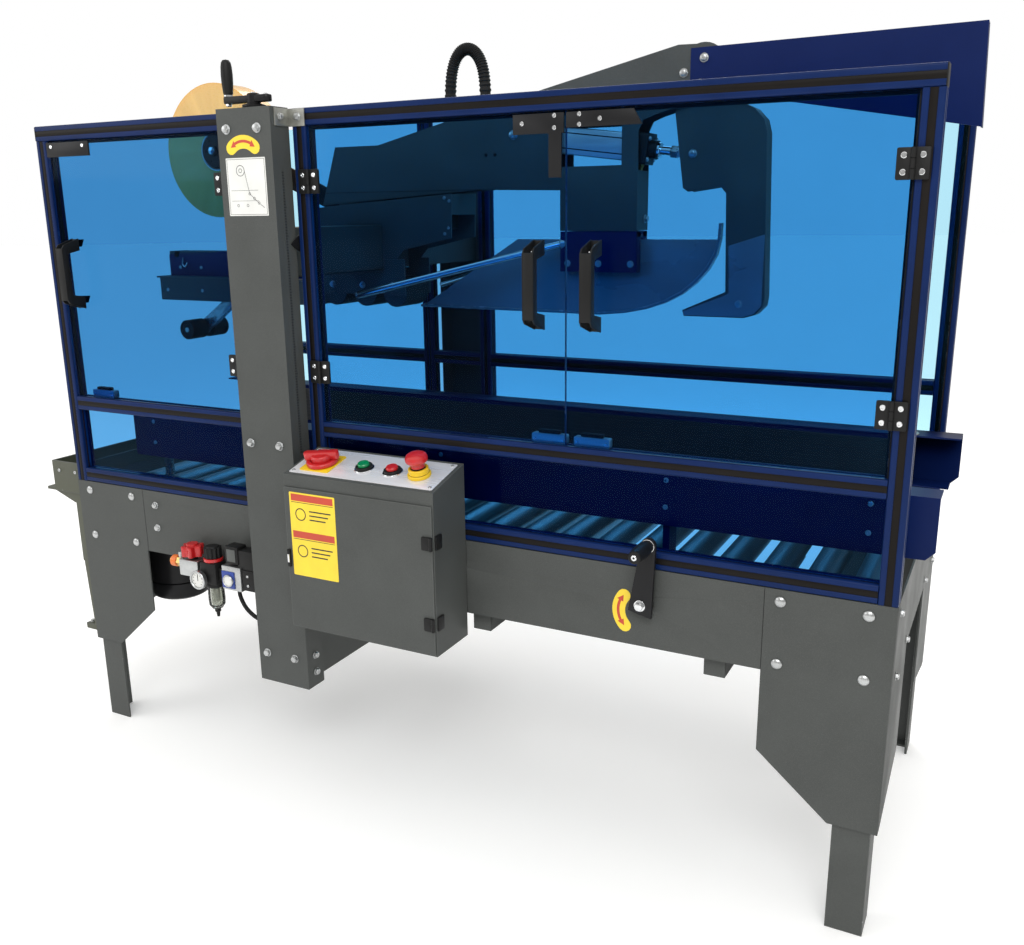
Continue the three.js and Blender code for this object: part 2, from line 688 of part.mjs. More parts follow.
function buildRoll() {
  const yMid = MID_Y;
  const roll = shape({
    add: [rod("y", ROLL.r, ROLL.width, ROLL.x, yMid, ROLL.z, 64)],
    remove: [rod("y", ROLL.core, ROLL.width + 10, ROLL.x, yMid, ROLL.z, 40)],
  });
  add("tape_roll", roll, tape, machine.getObjectByName("head"));
  const arm = outline([
    [ROLL.x - 16, ROLL.z + 16], [ROLL.x - 16, ROLL.z - 16], [500, 1134], [600, 1134], [600, 1168],
    [520, 1172], [ROLL.x + 16, ROLL.z + 24],
  ]);
  const holder = shape({
    add: [
      plateXZ(arm, 402, 408),
      rod("y", 12, 104, ROLL.x, 352, ROLL.z, 24),
      rod("y", ROLL.core - 1.5, 8, ROLL.x, 318, ROLL.z, 32),
      rod("y", ROLL.core - 1.5, 8, ROLL.x, 382, ROLL.z, 32),
    ],
  });
  add("roll_holder", holder, blackPlastic, machine.getObjectByName("head"));
}

class ArchCurve extends THREE.Curve {
  getPoint(t, target = new THREE.Vector3()) {
    const angle = Math.PI * (1 - t);
    const x = 834 + 40 * Math.cos(angle);
    const foot = 1332 + 18 * t;
    return target.set(x, MID_Y, foot + (1464 - foot) * Math.pow(Math.sin(angle), 0.55));
  }
}

function headConduit() {
  const section = new THREE.Shape();
  section.absarc(0, 0, 12.5, 0, 2 * Math.PI, false);
  return new THREE.ExtrudeGeometry(section, {
    extrudePath: new ArchCurve(), steps: 24, bevelEnabled: false, curveSegments: 4,
  });
}

function buildHead() {
  const head = new THREE.Group();
  head.name = "head";
  machine.add(head);
  add("head_carrier", headCarrier(), greyPaint, head);
  add("mast_channel", mastChannel(), greyPaint, head);
  add("tape_head", tapeHead(), greyPaint, head);
  add("head_channel", headChannel(), greyPaint, head);
  add("press_roller", pressRoller(), rubber, head).position.set(205, MID_Y, 975);
  add("ski", ski(), greyPaint, head);
  add("side_flap_rods", sideFlapRods(), bluePaint, head);
  add("infeed_panel", infeedPanel(), bluePaint, head);
  add("kicker_arm", kickerArm(), greyPaint, head);
  const cylinder = new THREE.Group();
  cylinder.position.set(CYLINDER_REAR[0], MID_Y, CYLINDER_REAR[1]);
  cylinder.rotation.y = CYLINDER_TILT;
  head.add(cylinder);
  add("air_cylinder", cylinderBody(), chrome, cylinder);
  add("cylinder_rod", cylinderRod(), chrome, cylinder);
  add("head_conduit", headConduit(), rubber, head);
  buildRoll();
}

buildBed();
buildRollers();
buildColumns();
buildGuard();
buildDoors();
buildGuides();
buildCranks();
buildControlBox();
buildAirUnit();
buildOutfeedBracket();
buildHead();

// The origin is the centre of the machine's box, on the floor
const extent = new THREE.Box3().setFromObject(machine);
const centre = extent.getCenter(new THREE.Vector3());
machine.position.set(-centre.x, -centre.y, 0);

const carton_sealer = new THREE.Group();
carton_sealer.add(machine);
export default carton_sealer;
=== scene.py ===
"""The looks of a carton sealer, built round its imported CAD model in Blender 4.5.

Pieces are laid out in millimetres from the bed's left front corner on the floor, +X to the infeed
end, +Y to the rear and +Z up. Piece.done turns them to metres in the row frame.
"""
import json
import math

import bmesh
import bpy
from mathutils import Matrix, Vector


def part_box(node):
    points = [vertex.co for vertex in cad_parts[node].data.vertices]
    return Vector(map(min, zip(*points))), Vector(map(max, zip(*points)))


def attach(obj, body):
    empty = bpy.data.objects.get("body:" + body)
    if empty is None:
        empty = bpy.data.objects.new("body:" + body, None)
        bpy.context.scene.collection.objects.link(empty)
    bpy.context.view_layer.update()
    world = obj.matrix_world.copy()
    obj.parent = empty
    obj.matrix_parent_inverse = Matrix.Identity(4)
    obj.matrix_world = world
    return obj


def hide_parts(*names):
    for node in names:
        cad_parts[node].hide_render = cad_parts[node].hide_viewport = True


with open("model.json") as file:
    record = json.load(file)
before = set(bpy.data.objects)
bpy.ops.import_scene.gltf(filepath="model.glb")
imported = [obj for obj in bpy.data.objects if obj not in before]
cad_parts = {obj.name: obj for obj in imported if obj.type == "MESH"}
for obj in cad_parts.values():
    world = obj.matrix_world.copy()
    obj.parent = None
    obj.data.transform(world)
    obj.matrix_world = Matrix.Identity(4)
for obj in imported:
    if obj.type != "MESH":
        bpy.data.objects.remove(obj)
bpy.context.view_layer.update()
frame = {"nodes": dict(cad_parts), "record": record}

MM = 0.001
BODY_OF = {node: body for body, nodes in frame["record"]["behaviour"]["bodies"].items() for node in nodes}
BED_CORNER = Vector((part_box("bed_frame")[0].x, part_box("bed_frame")[0].y, 0))
TO_ROW = Matrix.Translation(BED_CORNER) @ Matrix.Scale(MM, 4)


class Extent:
    """The box round CAD nodes at rest, in millimetres from the bed's corner."""

    def __init__(self, *nodes):
        low = [min((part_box(node)[0][i] - BED_CORNER[i]) / MM for node in nodes) for i in range(3)]
        high = [max((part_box(node)[1][i] - BED_CORNER[i]) / MM for node in nodes) for i in range(3)]
        self.x0, self.y0, self.z0 = low
        self.x1, self.y1, self.z1 = high
        self.x, self.y, self.z = [(a + b) / 2 for a, b in zip(low, high)]


# ---------------------------------------------------------------- materials

NOISE_SPAN = (0.3, 0.7)  # the part of a noise's range that a mix spans
WHITE = (1, 1, 1, 1)


def set_inputs(tree, node, inputs):
    """Links each named input to its value where that is a socket, or else sets it."""
    for name, value in inputs.items():
        if isinstance(value, bpy.types.NodeSocket):
            tree.links.new(value, node.inputs[name])
        else:
            node.inputs[name].default_value = value


def add_node(tree, kind, inputs):
    node = tree.nodes.new(f"ShaderNode{kind}")
    set_inputs(tree, node, inputs)
    return node


def noise(tree, coordinates, size, detail=3.0, roughness=0.55):
    """Noise whose features are about size millimetres across."""
    inputs = {"Scale": 1 / (size * MM), "Detail": detail, "Roughness": roughness, "Vector": coordinates}
    return add_node(tree, "TexNoise", inputs).outputs["Fac"]


def remap(tree, value, low, high, to_low=0.0, to_high=1.0):
    inputs = {"Value": value, "From Min": low, "From Max": high, "To Min": to_low, "To Max": to_high}
    return add_node(tree, "MapRange", inputs).outputs["Result"]


def mix_colour(tree, factor, a, b):
    """A mix of two colours, each a socket or three numbers."""
    node = tree.nodes.new("ShaderNodeMix")
    node.data_type = "RGBA"
    first, second = [(*colour, 1) if isinstance(colour, tuple) else colour for colour in (a, b)]
    set_inputs(tree, node, {0: factor, 6: first, 7: second})
    return node.outputs[2]


def shade(colour, factor):
    return tuple(min(1.0, c * factor) for c in colour)


def object_coordinates(tree, stretch=(1, 1, 1)):
    place = add_node(tree, "TexCoord", {})
    return add_node(tree, "Mapping", {"Vector": place.outputs["Object"], "Scale": stretch}).outputs["Vector"]


def bump(tree, height, depth, shader):
    """Relief whose full depth is in millimetres."""
    relief = add_node(tree, "Bump", {"Strength": 1.0, "Distance": depth * MM, "Height": height})
    tree.links.new(relief.outputs["Normal"], shader.inputs["Normal"])


def new_material(name):
    material = bpy.data.materials.new(name)
    material.use_nodes = True
    return material, material.node_tree, material.node_tree.nodes["Principled BSDF"]


def surface(name, colour, roughness, metallic=0.0, *, mottle=0.12, patch=90, spread=0.06,
            grain=1.0, depth=0.01, fleck=0.0, wear=0.0, wear_colour=(0.3, 0.3, 0.3),
            stretch=(1, 1, 1), coat=0.0, specular=0.5):
    """A solid finish: patches of lighter and darker colour, fine grain in relief, flecks, and worn spots."""
    material, tree, shader = new_material(name)
    where = object_coordinates(tree, stretch)
    broad = noise(tree, where, patch, 5.0)
    fine = noise(tree, where, grain, 2.0)
    paint = mix_colour(tree, remap(tree, broad, *NOISE_SPAN), shade(colour, 1 - mottle),
                       shade(colour, 1 + mottle))
    if fleck:
        paint = mix_colour(tree, remap(tree, fine, 0.5, 0.72, 0, fleck), paint, shade(colour, 2.2))
    rough = remap(tree, broad, *NOISE_SPAN, max(0.02, roughness - spread), roughness + spread)
    if wear:
        spots = noise(tree, where, 14, 6.0, 0.7)
        paint = mix_colour(tree, remap(tree, spots, 0.72 - 0.25 * wear, 0.76 - 0.2 * wear), paint,
                           wear_colour)
    set_inputs(tree, shader, {"Base Color": paint, "Roughness": rough, "Metallic": metallic,
                              "Coat Weight": coat, "Specular IOR Level": specular})
    bump(tree, fine, depth, shader)
    return material


def pane_material(name, tint, gloss):
    """A clear tinted sheet. Each of its two faces lets the tint through once and mirrors a little."""
    material, tree, shader = new_material(name)
    tree.nodes.remove(shader)
    smudge = noise(tree, object_coordinates(tree), 160, 6.0)
    tinted = mix_colour(tree, remap(tree, smudge, *NOISE_SPAN), shade(tint, 0.985), tint)
    rough = remap(tree, smudge, *NOISE_SPAN, 0.03, 0.09)
    clear = add_node(tree, "BsdfTransparent", {"Color": tinted})
    mirror = add_node(tree, "BsdfGlossy", {"Color": WHITE, "Roughness": rough})
    angle = add_node(tree, "Fresnel", {"IOR": gloss})
    both = add_node(tree, "MixShader", {"Fac": angle.outputs["Fac"], 1: clear.outputs["BSDF"],
                                        2: mirror.outputs["BSDF"]})
    tree.links.new(both.outputs["Shader"], tree.nodes["Material Output"].inputs["Surface"])
    return material


def tape_material(name, centre):
    """Wound clear film seen from its side: fine rings, radial sheen bands and an amber rim."""
    material, tree, shader = new_material(name)
    place = add_node(tree, "TexCoord", {})
    shift = add_node(tree, "VectorMath", {0: place.outputs["Object"], 1: centre})
    shift.operation = "SUBTRACT"
    split = add_node(tree, "SeparateXYZ", {"Vector": shift.outputs["Vector"]})

    def calculate(operation, a, b=0.0):
        node = add_node(tree, "Math", {0: a, 1: b})
        node.operation = operation
        return node.outputs["Value"]

    x, z = split.outputs["X"], split.outputs["Z"]
    radius = calculate("SQRT", calculate("ADD", calculate("MULTIPLY", x, x), calculate("MULTIPLY", z, z)))
    angle = calculate("ARCTAN2", z, x)
    polar = add_node(tree, "CombineXYZ", {"X": calculate("MULTIPLY", angle, 0.02), "Y": radius})
    bands = add_node(tree, "CombineXYZ", {"X": calculate("MULTIPLY", angle, 0.05)})
    rings = noise(tree, polar.outputs["Vector"], 1.4, 2.0)
    sheen = noise(tree, bands.outputs["Vector"], 18, 2.0)
    side = mix_colour(tree, remap(tree, sheen, 0.35, 0.65), (0.70, 0.41, 0.085), (0.84, 0.52, 0.13))
    side = mix_colour(tree, remap(tree, rings, *NOISE_SPAN, 0, 0.25), side, (0.56, 0.30, 0.05))
    paint = mix_colour(tree, remap(tree, radius, 0.126, 0.147), side, (0.78, 0.42, 0.08))
    rough = remap(tree, rings, *NOISE_SPAN, 0.22, 0.38)
    set_inputs(tree, shader, {"Base Color": paint, "Roughness": rough, "Subsurface Weight": 0.25,
                              "Subsurface Radius": (0.02, 0.012, 0.004), "Coat Weight": 0.4})
    bump(tree, rings, 0.05, shader)
    return material


NAVY = (0.0040, 0.0165, 0.080)
GREY = (0.062, 0.066, 0.063)
GREY_PAINT = surface("grey_powder_coat", GREY, 0.50, depth=0.06, fleck=0.35, mottle=0.10, spread=0.08,
                     specular=0.22)
# painted highlight: the grey coat made 1.35 times lighter for rounded edges, with real worn spots of bare
# steel
GREY_EDGE_HIGHLIGHT_AND_WEAR = surface("grey_powder_coat_edge_highlight_and_wear", shade(GREY, 1.35), 0.42, depth=0.05, wear=0.3,
                    wear_colour=(0.30, 0.31, 0.31), specular=0.3)
GREEN_GREY = surface("olive_paint", (0.062, 0.066, 0.044), 0.55, depth=0.05, fleck=0.2, wear=0.2,
                     wear_colour=(0.24, 0.24, 0.22))
NAVY_PROFILE = surface("navy_profile", NAVY, 0.34, grain=0.9, depth=0.02, mottle=0.16, specular=0.12,
                       wear=0.05, wear_colour=(0.02, 0.045, 0.13))
SLOT_STRIP = surface("slot_strip", (0.0085, 0.0068, 0.0060), 0.42, grain=2.5, depth=0.02, mottle=0.3,
                     patch=220, specular=0.12)
BLUE_PAINT = surface("deep_blue_paint", (0.0030, 0.0120, 0.074), 0.36, grain=1.4, depth=0.025, mottle=0.12,
                     patch=200, specular=0.11)
# painted highlight: a lighter copy of the deep blue paint for rounded edges, with real worn spots
BLUE_EDGE_HIGHLIGHT_AND_WEAR = surface("deep_blue_paint_edge_highlight_and_wear", (0.008, 0.022, 0.13), 0.28, grain=1.4, depth=0.02, wear=0.25,
                    wear_colour=(0.06, 0.09, 0.20), specular=0.3)
BLACK_PLASTIC = surface("black_moulding", (0.010, 0.010, 0.010), 0.46, grain=0.7, depth=0.03, mottle=0.2,
                        specular=0.2)
BLACK_METAL = surface("black_satin_metal", (0.010, 0.010, 0.011), 0.34, grain=0.8, depth=0.02, mottle=0.2,
                      wear=0.1, wear_colour=(0.05, 0.05, 0.05), specular=0.2)
RUBBER = surface("black_rubber", (0.014, 0.014, 0.014), 0.68, grain=0.6, depth=0.05, mottle=0.25,
                 specular=0.2)
BELT_RUBBER = surface("belt_rubber", (0.020, 0.020, 0.019), 0.72, grain=1.6, depth=0.12, mottle=0.3,
                      patch=50, stretch=(3, 1, 0.4))
ZINC = surface("zinc_plate", (0.46, 0.47, 0.47), 0.30, 0.95, grain=0.8, depth=0.02, mottle=0.16, patch=30,
               stretch=(1, 0.12, 1))
ROLLER_STEEL = surface("roller_steel", (0.19, 0.192, 0.19), 0.34, 0.9, grain=0.8, depth=0.02, mottle=0.2,
                       patch=30, stretch=(1, 0.12, 1))
GALVANISED = surface("galvanised_plate", (0.36, 0.36, 0.33), 0.42, 0.85, grain=5.0, depth=0.02, mottle=0.2,
                     patch=16)
CHROME = surface("chrome", (0.72, 0.73, 0.74), 0.10, 1.0, depth=0.004, mottle=0.05, spread=0.03)
BRUSHED = surface("brushed_plate", (0.60, 0.61, 0.62), 0.34, 0.75, mottle=0.07, patch=20,
                  stretch=(0.05, 1, 1))
CONSOLE_PLATE = surface("console_plate", (0.80, 0.80, 0.82), 0.30, 0.30, mottle=0.05, patch=20,
                        stretch=(0.05, 1, 1))
# steel sheet whose colour is lightened and tinted blue: painted light and painted reflection of the blue
# parts around it
SKI_STEEL_BLUE_REFLECTION = surface("steel_sheet_painted_blue_reflection", (0.22, 0.25, 0.28), 0.30, 0.3, grain=2.0, mottle=0.22, patch=110,
                    stretch=(0.4, 1, 1))
# bright steel; on the ski's rounded edges it is a painted highlight, lighter than the sheet beside it
BRIGHT_STEEL_AND_EDGE_HIGHLIGHT = surface("bright_steel_and_edge_highlight", (0.55, 0.57, 0.58), 0.25, 0.9, depth=0.02, mottle=0.3, patch=25)
BRASS = surface("brass", (0.55, 0.38, 0.14), 0.26, 0.95)
RED_PLASTIC = surface("red_moulding", (0.50, 0.012, 0.014), 0.30, grain=0.8, coat=0.3)
GREEN_PLASTIC = surface("green_moulding", (0.0, 0.22, 0.07), 0.28, grain=0.8, coat=0.3)
ORANGE_PLASTIC = surface("orange_moulding", (0.72, 0.17, 0.03), 0.34, grain=0.8)
YELLOW_PLASTIC = surface("yellow_moulding", (0.80, 0.52, 0.01), 0.36, grain=0.8)
WHITE_PLASTIC = surface("white_label", (0.72, 0.72, 0.69), 0.42, grain=0.6, depth=0.005, mottle=0.05,
                        patch=40)
LABEL_YELLOW = surface("yellow_label", (0.83, 0.60, 0.03), 0.38, grain=0.6, depth=0.005, mottle=0.06,
                       patch=40)
LABEL_RED = surface("red_label", (0.50, 0.05, 0.02), 0.38, grain=0.6, depth=0.005, mottle=0.08, patch=40)
LABEL_BLACK = surface("black_print", (0.015, 0.015, 0.015), 0.5, grain=0.6, depth=0.005)
BLUE_MOULDING = surface("blue_moulding", (0.02, 0.05, 0.28), 0.34, grain=0.8)
PANE = pane_material("blue_polycarbonate", (0.300, 0.585, 0.825), 1.09)
LEFT_PANE = pane_material("deep_blue_polycarbonate", (0.215, 0.500, 0.755), 1.09)
REAR_PANE = pane_material("light_blue_polycarbonate", (0.690, 0.905, 0.980), 1.09)
PANE_EDGE = surface("blue_polycarbonate_edge", (0.008, 0.05, 0.16), 0.25, coat=0.4)
CLEAR_BOWL = pane_material("clear_bowl", (0.72, 0.73, 0.70), 1.3)


# ---------------------------------------------------------------- mesh building

DIRECTIONS = {
    "x": (1, 0, 0), "-x": (-1, 0, 0), "y": (0, 1, 0), "-y": (0, -1, 0), "z": (0, 0, 1), "-z": (0, 0, -1),
}
SHARP = math.radians(24)
FULL = 2 * math.pi
STICKER, PRINT = 0.4, 0.6  # how far a sticker and the print on it stand proud


def arc(centre, radius, start, end, steps):
    """Points on an arc, in degrees, its two ends included."""
    turns = [math.radians(start + (end - start) * i / steps) for i in range(steps + 1)]
    return [(centre[0] + radius * math.cos(t), centre[1] + radius * math.sin(t)) for t in turns]


def around(middle, half):
    """The two ends of a span, from its middle and half its length."""
    return (middle - half, middle + half)


def rounded(a0, a1, b0, b1, radius, steps=4):
    """A rectangle's outline with round corners."""
    corners = [((a1 - radius, b1 - radius), 0), ((a0 + radius, b1 - radius), 90),
               ((a0 + radius, b0 + radius), 180), ((a1 - radius, b0 + radius), 270)]
    return [point for centre, start in corners for point in arc(centre, radius, start, start + 90, steps)]


def lobed(centre, radius, depth, lobes, steps):
    """The outline of a knob with round lobes, in steps for each lobe."""
    turns = [FULL * i / (lobes * steps) for i in range(lobes * steps)]
    radii = [radius + depth * math.cos(lobes * turn) for turn in turns]
    return [(centre[0] + r * math.cos(turn), centre[1] + r * math.sin(turn))
            for r, turn in zip(radii, turns)]


def smooth_path(points, steps=8):
    """A curve through the points, by Catmull-Rom."""
    points = [Vector(p) for p in points]
    ends = [2 * points[0] - points[1], *points, 2 * points[-1] - points[-2]]
    path = []
    for a, b, c, d in zip(ends, ends[1:], ends[2:], ends[3:]):
        for i in range(steps):
            t = i / steps
            path.append(0.5 * (2 * b + (c - a) * t + (2 * a - 5 * b + 4 * c - d) * t * t
                               + (3 * b - a - 3 * c + d) * t ** 3))
    return path + [points[-1]]


class Piece:
    """Solids gathered in one mesh. Each solid names one of the piece's looks by its number."""

    def __init__(self, name, like, *looks):
        """like is the CAD node whose body the piece rides on."""
        self.name, self.like, self.looks = name, like, looks
        self.mesh = bmesh.new()

    def join(self, part, look=0, place=None, painted=False):
        bmesh.ops.recalc_face_normals(part, faces=part.faces)
        if place is not None:
            part.transform(place)
        if not painted:
            for face in part.faces:
                face.material_index = look
        held = bpy.data.meshes.new("held")
        part.to_mesh(held)
        part.free()
        self.mesh.from_mesh(held)
        bpy.data.meshes.remove(held)

    def box(self, x, y, z, look=0, bevel=0.6, place=None):
        outline = [(x[0], z[0]), (x[1], z[0]), (x[1], z[1]), (x[0], z[1])]
        self.prism(outline, "y", y[0], y[1], look, bevel, place)

    def prism(self, outline, axis, start, end, look=0, bevel=0.6, place=None):
        """An outline drawn in the two other axes, in their order, from start to end along the axis."""
        turn = {"x": lambda a, b, c: (c, a, b),
                "y": lambda a, b, c: (a, c, b), "z": lambda a, b, c: (a, b, c)}[axis]
        part = bmesh.new()
        low = [part.verts.new(turn(a, b, start)) for a, b in outline]
        high = [part.verts.new(turn(a, b, end)) for a, b in outline]
        part.faces.new(low)
        part.faces.new(high)
        for i in range(len(outline)):
            j = (i + 1) % len(outline)
            part.faces.new((low[i], low[j], high[j], high[i]))
        if bevel:
            bmesh.ops.recalc_face_normals(part, faces=part.faces)
            edges = [e for e in part.edges if e.calc_face_angle(0) > SHARP]
            bmesh.ops.bevel(part, geom=edges, offset=bevel, segments=2, profile=0.5, affect="EDGES",
                            clamp_overlap=True)
        self.join(part, look, place)

    def lathe(self, profile, at=(0, 0, 0), axis="z", look=0, sides=24, place=None):
        """Turns a profile of (radius, height) about an axis. It starts and ends on the axis, or closes."""
        direction = Vector(DIRECTIONS[axis] if isinstance(axis, str) else axis)
        turn = Matrix.Translation(at) @ direction.to_track_quat("Z", "Y").to_matrix().to_4x4()
        part = bmesh.new()
        rings = []
        for radius, height in profile:
            if radius < 1e-6:
                rings.append([part.verts.new((0, 0, height))])
            else:
                rings.append([part.verts.new((radius * math.cos(FULL * i / sides),
                                              radius * math.sin(FULL * i / sides),
                                              height)) for i in range(sides)])
        pairs = list(zip(rings, rings[1:]))
        if len(rings[0]) > 1 and len(rings[-1]) > 1:
            pairs.append((rings[-1], rings[0]))
        for low, high in pairs:
            for i in range(sides):
                j = (i + 1) % sides
                corners = [low[i % len(low)], low[j % len(low)], high[j % len(high)], high[i % len(high)]]
                part.faces.new(list(dict.fromkeys(corners)))
        part.transform(turn)
        self.join(part, look, place)

    def rod(self, radius, start, end, at, axis="z", look=0, sides=24, bevel=0.6, place=None):
        profile = [(0, start), (radius - bevel, start), (radius, start + bevel),
                   (radius, end - bevel), (radius - bevel, end), (0, end)]
        self.lathe(profile, at, axis, look, sides, place)

    def ring(self, inner, outer, start, end, at, axis="z", look=0, sides=32, bevel=0.6, place=None):
        profile = [(inner, start + bevel), (inner + bevel, start), (outer - bevel, start),
                   (outer, start + bevel),
                   (outer, end - bevel), (outer - bevel, end), (inner + bevel, end), (inner, end - bevel)]
        self.lathe(profile, at, axis, look, sides, place)

    def tube(self, path, radius, look=0, sides=12):
        """A closed tube along a path. radius is a number or a function of the point's number."""
        radius_at = radius if callable(radius) else lambda i: radius
        part = bmesh.new()
        rings = []
        side = None
        for i, point in enumerate(path):
            ahead = (path[min(i + 1, len(path) - 1)] - path[max(i - 1, 0)]).normalized()
            if side is None:
                side = ahead.orthogonal().normalized()
            side = (side - ahead * side.dot(ahead)).normalized()
            up = ahead.cross(side)
            turns = [FULL * k / sides for k in range(sides)]
            rings.append([part.verts.new(point + radius_at(i) * (side * math.cos(t) + up * math.sin(t)))
                          for t in turns])
        for low, high in zip(rings, rings[1:]):
            for k in range(sides):
                part.faces.new((low[k], low[(k + 1) % sides], high[(k + 1) % sides], high[k]))
        part.faces.new(rings[0])
        part.faces.new(rings[-1])
        self.join(part, look)

    def bolt(self, at, axis, across=13, look=0, washer=True, place=None):
        """A hexagon head with a round crown, on a washer."""
        lift = 1.4 if washer else 0
        if washer:
            self.ring(across * 0.3, across * 0.66, 0, lift, at, axis, look, 20, 0.3, place)
        r = across * 0.55
        self.lathe([(0, lift), (r, lift), (r, lift + 0.28 * across), (r * 0.86, lift + 0.38 * across),
                    (0, lift + 0.40 * across)], at, axis, look, 6, place)
        self.lathe([(0, lift), (r * 0.84, lift + 0.3 * across), (r * 0.8, lift + 0.40 * across),
                    (r * 0.5, lift + 0.45 * across), (0, lift + 0.46 * across)], at, axis, look, 16, place)

    def screw(self, at, axis, radius=3.4, height=2.0, look=0, place=None):
        """A round head with a socket."""
        self.lathe([(0, 0), (radius, 0), (radius, height * 0.6), (radius * 0.8, height),
                    (radius * 0.42, height),
                    (radius * 0.42, height * 0.3), (0, height * 0.3)], at, axis, look, 16, place)

    def node(self, node, look=0, edge=None, bevel=0.8, angle=30):
        """A CAD node's own shape with its edges rounded. The rounded edges take the edge look, a lighter
        copy painted as highlight.
        """
        part = bmesh.new()
        part.from_mesh(frame["nodes"][node].data)
        part.transform(TO_ROW.inverted())
        bmesh.ops.remove_doubles(part, verts=part.verts, dist=0.02)
        bmesh.ops.dissolve_limit(part, angle_limit=math.radians(0.5), verts=part.verts, edges=part.edges)
        for face in part.faces:
            face.material_index = look
        edges = [e for e in part.edges
                 if len(e.link_faces) == 2 and e.calc_face_angle(0) > math.radians(angle)]
        made = bmesh.ops.bevel(part, geom=edges, offset=bevel, segments=2, profile=0.5, affect="EDGES",
                               clamp_overlap=True)
        for face in made["faces"]:
            face.material_index = look if edge is None else edge
        self.join(part, painted=True)

    def done(self, *replaced):
        mesh = bpy.data.meshes.new(self.name)
        self.mesh.transform(TO_ROW)
        self.mesh.to_mesh(mesh)
        self.mesh.free()
        for look in self.looks:
            mesh.materials.append(look)
        mesh.shade_smooth()
        mesh.set_sharp_from_angle(angle=SHARP)
        piece = bpy.data.objects.new(self.name, mesh)
        bpy.context.scene.collection.objects.link(piece)
        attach(piece, BODY_OF[self.like])
        if replaced:
            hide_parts(*replaced)
        return piece


def finishing(node, *looks):
    """A piece that replaces a CAD node."""
    return Piece(f"{node}_finished", node, *looks)


def finished(node, look, edge, bevel=0.8):
    """Replaces a CAD node by its own shape with rounded edges, painted lighter as highlight and with worn
    spots.
    """
    piece = finishing(node, look, edge)
    piece.node(node, 0, 1, bevel)
    return piece.done(node)


# ---------------------------------------------------------------- camera, light and floor


CAMERA = {"place": (1.0398, -1.7965, 1.1537), "yaw": 27.38, "pitch": -14.685, "roll": -0.667, "lens": 34.97}
SUBJECT = (0, 0, 0.7)


def build_camera():
    data = bpy.data.cameras.new("camera")
    data.lens = CAMERA["lens"]
    data.sensor_width = 36
    data.clip_end = 200
    camera = bpy.data.objects.new("camera", data)
    bpy.context.scene.collection.objects.link(camera)
    yaw, pitch, roll = [math.radians(CAMERA[turn]) for turn in ("yaw", "pitch", "roll")]
    turn = (Matrix.Rotation(yaw, 4, "Z") @ Matrix.Rotation(math.pi / 2 + pitch, 4, "X")
            @ Matrix.Rotation(roll, 4, "Z"))
    camera.matrix_world = Matrix.Translation(CAMERA["place"]) @ turn
    bpy.context.scene.camera = camera


def build_world():
    """White to the eye, and for lighting a soft dome that is brighter overhead."""
    world = bpy.data.worlds.new("studio")
    bpy.context.scene.world = world
    world.use_nodes = True
    tree = world.node_tree
    tree.nodes.clear()
    place = add_node(tree, "TexCoord", {})
    split = add_node(tree, "SeparateXYZ", {"Vector": place.outputs["Generated"]})
    strength = remap(tree, split.outputs["Z"], -0.1, 0.9, 0.34, 1.15)
    dome = add_node(tree, "Background", {"Color": (1, 0.99, 0.97, 1), "Strength": strength})
    seen = add_node(tree, "Background", {"Color": WHITE})
    path = add_node(tree, "LightPath", {})
    both = add_node(tree, "MixShader", {"Fac": path.outputs["Is Camera Ray"], 1: dome.outputs["Background"],
                                        2: seen.outputs["Background"]})
    add_node(tree, "OutputWorld", {"Surface": both.outputs["Shader"]})


def build_light(name, place, target, size, watts):
    data = bpy.data.lights.new(name, "AREA")
    data.shape = "RECTANGLE"
    data.size, data.size_y = size
    data.energy = watts
    light = bpy.data.objects.new(name, data)
    light.location = place
    light.rotation_euler = (Vector(target) - Vector(place)).to_track_quat("-Z", "Y").to_euler()
    bpy.context.scene.collection.objects.link(light)


def build_floor():
    part = bmesh.new()
    bmesh.ops.create_circle(part, cap_ends=True, segments=96, radius=45)
    mesh = bpy.data.meshes.new("floor")
    part.to_mesh(mesh)
    part.free()
    paper = surface("pale_floor", (0.93, 0.93, 0.925), 0.75, mottle=0.006, patch=900, grain=6,
                    specular=0.15)
    shader = paper.node_tree.nodes["Principled BSDF"]
    set_inputs(paper.node_tree, shader, {"Emission Color": WHITE, "Emission Strength": 0.19})
    mesh.materials.append(paper)
    floor = bpy.data.objects.new("floor", mesh)
    bpy.context.scene.collection.objects.link(floor)


build_camera()
build_world()
build_floor()
build_light("key", (1.6, -3.4, 3.4), SUBJECT, (2.6, 1.6), 75)
build_light("fill", (-3.2, -2.6, 2.2), SUBJECT, (2.4, 1.8), 26)
build_light("rim", (-0.6, 3.2, 3.2), (0, 0, 0.9), (3.0, 1.4), 42)
bpy.context.scene.view_settings.view_transform = "Standard"


# ---------------------------------------------------------------- bed, legs and rollers

BED = Extent("bed_frame")
MID = BED.y
LIFT_SCREW = (612, -25)  # x and y of the screw in the front column
WIDTH_SCREW = (1349, 521)  # x and z of the screw under the bed
DOOR_SILL, REAR_SILL = 773, 815  # tops of the guard's middle rails, in front and at the rear
TOP_GUSSET_ROW, LOW_GUSSET_ROW = BED.z1 - 20, BED.z1 - 125
CARRIAGE_HEAD = [(0, 0), (9, 0), (8.6, 1.6), (7, 3.2), (4.5, 4.3), (2, 4.7), (0, 4.8)]


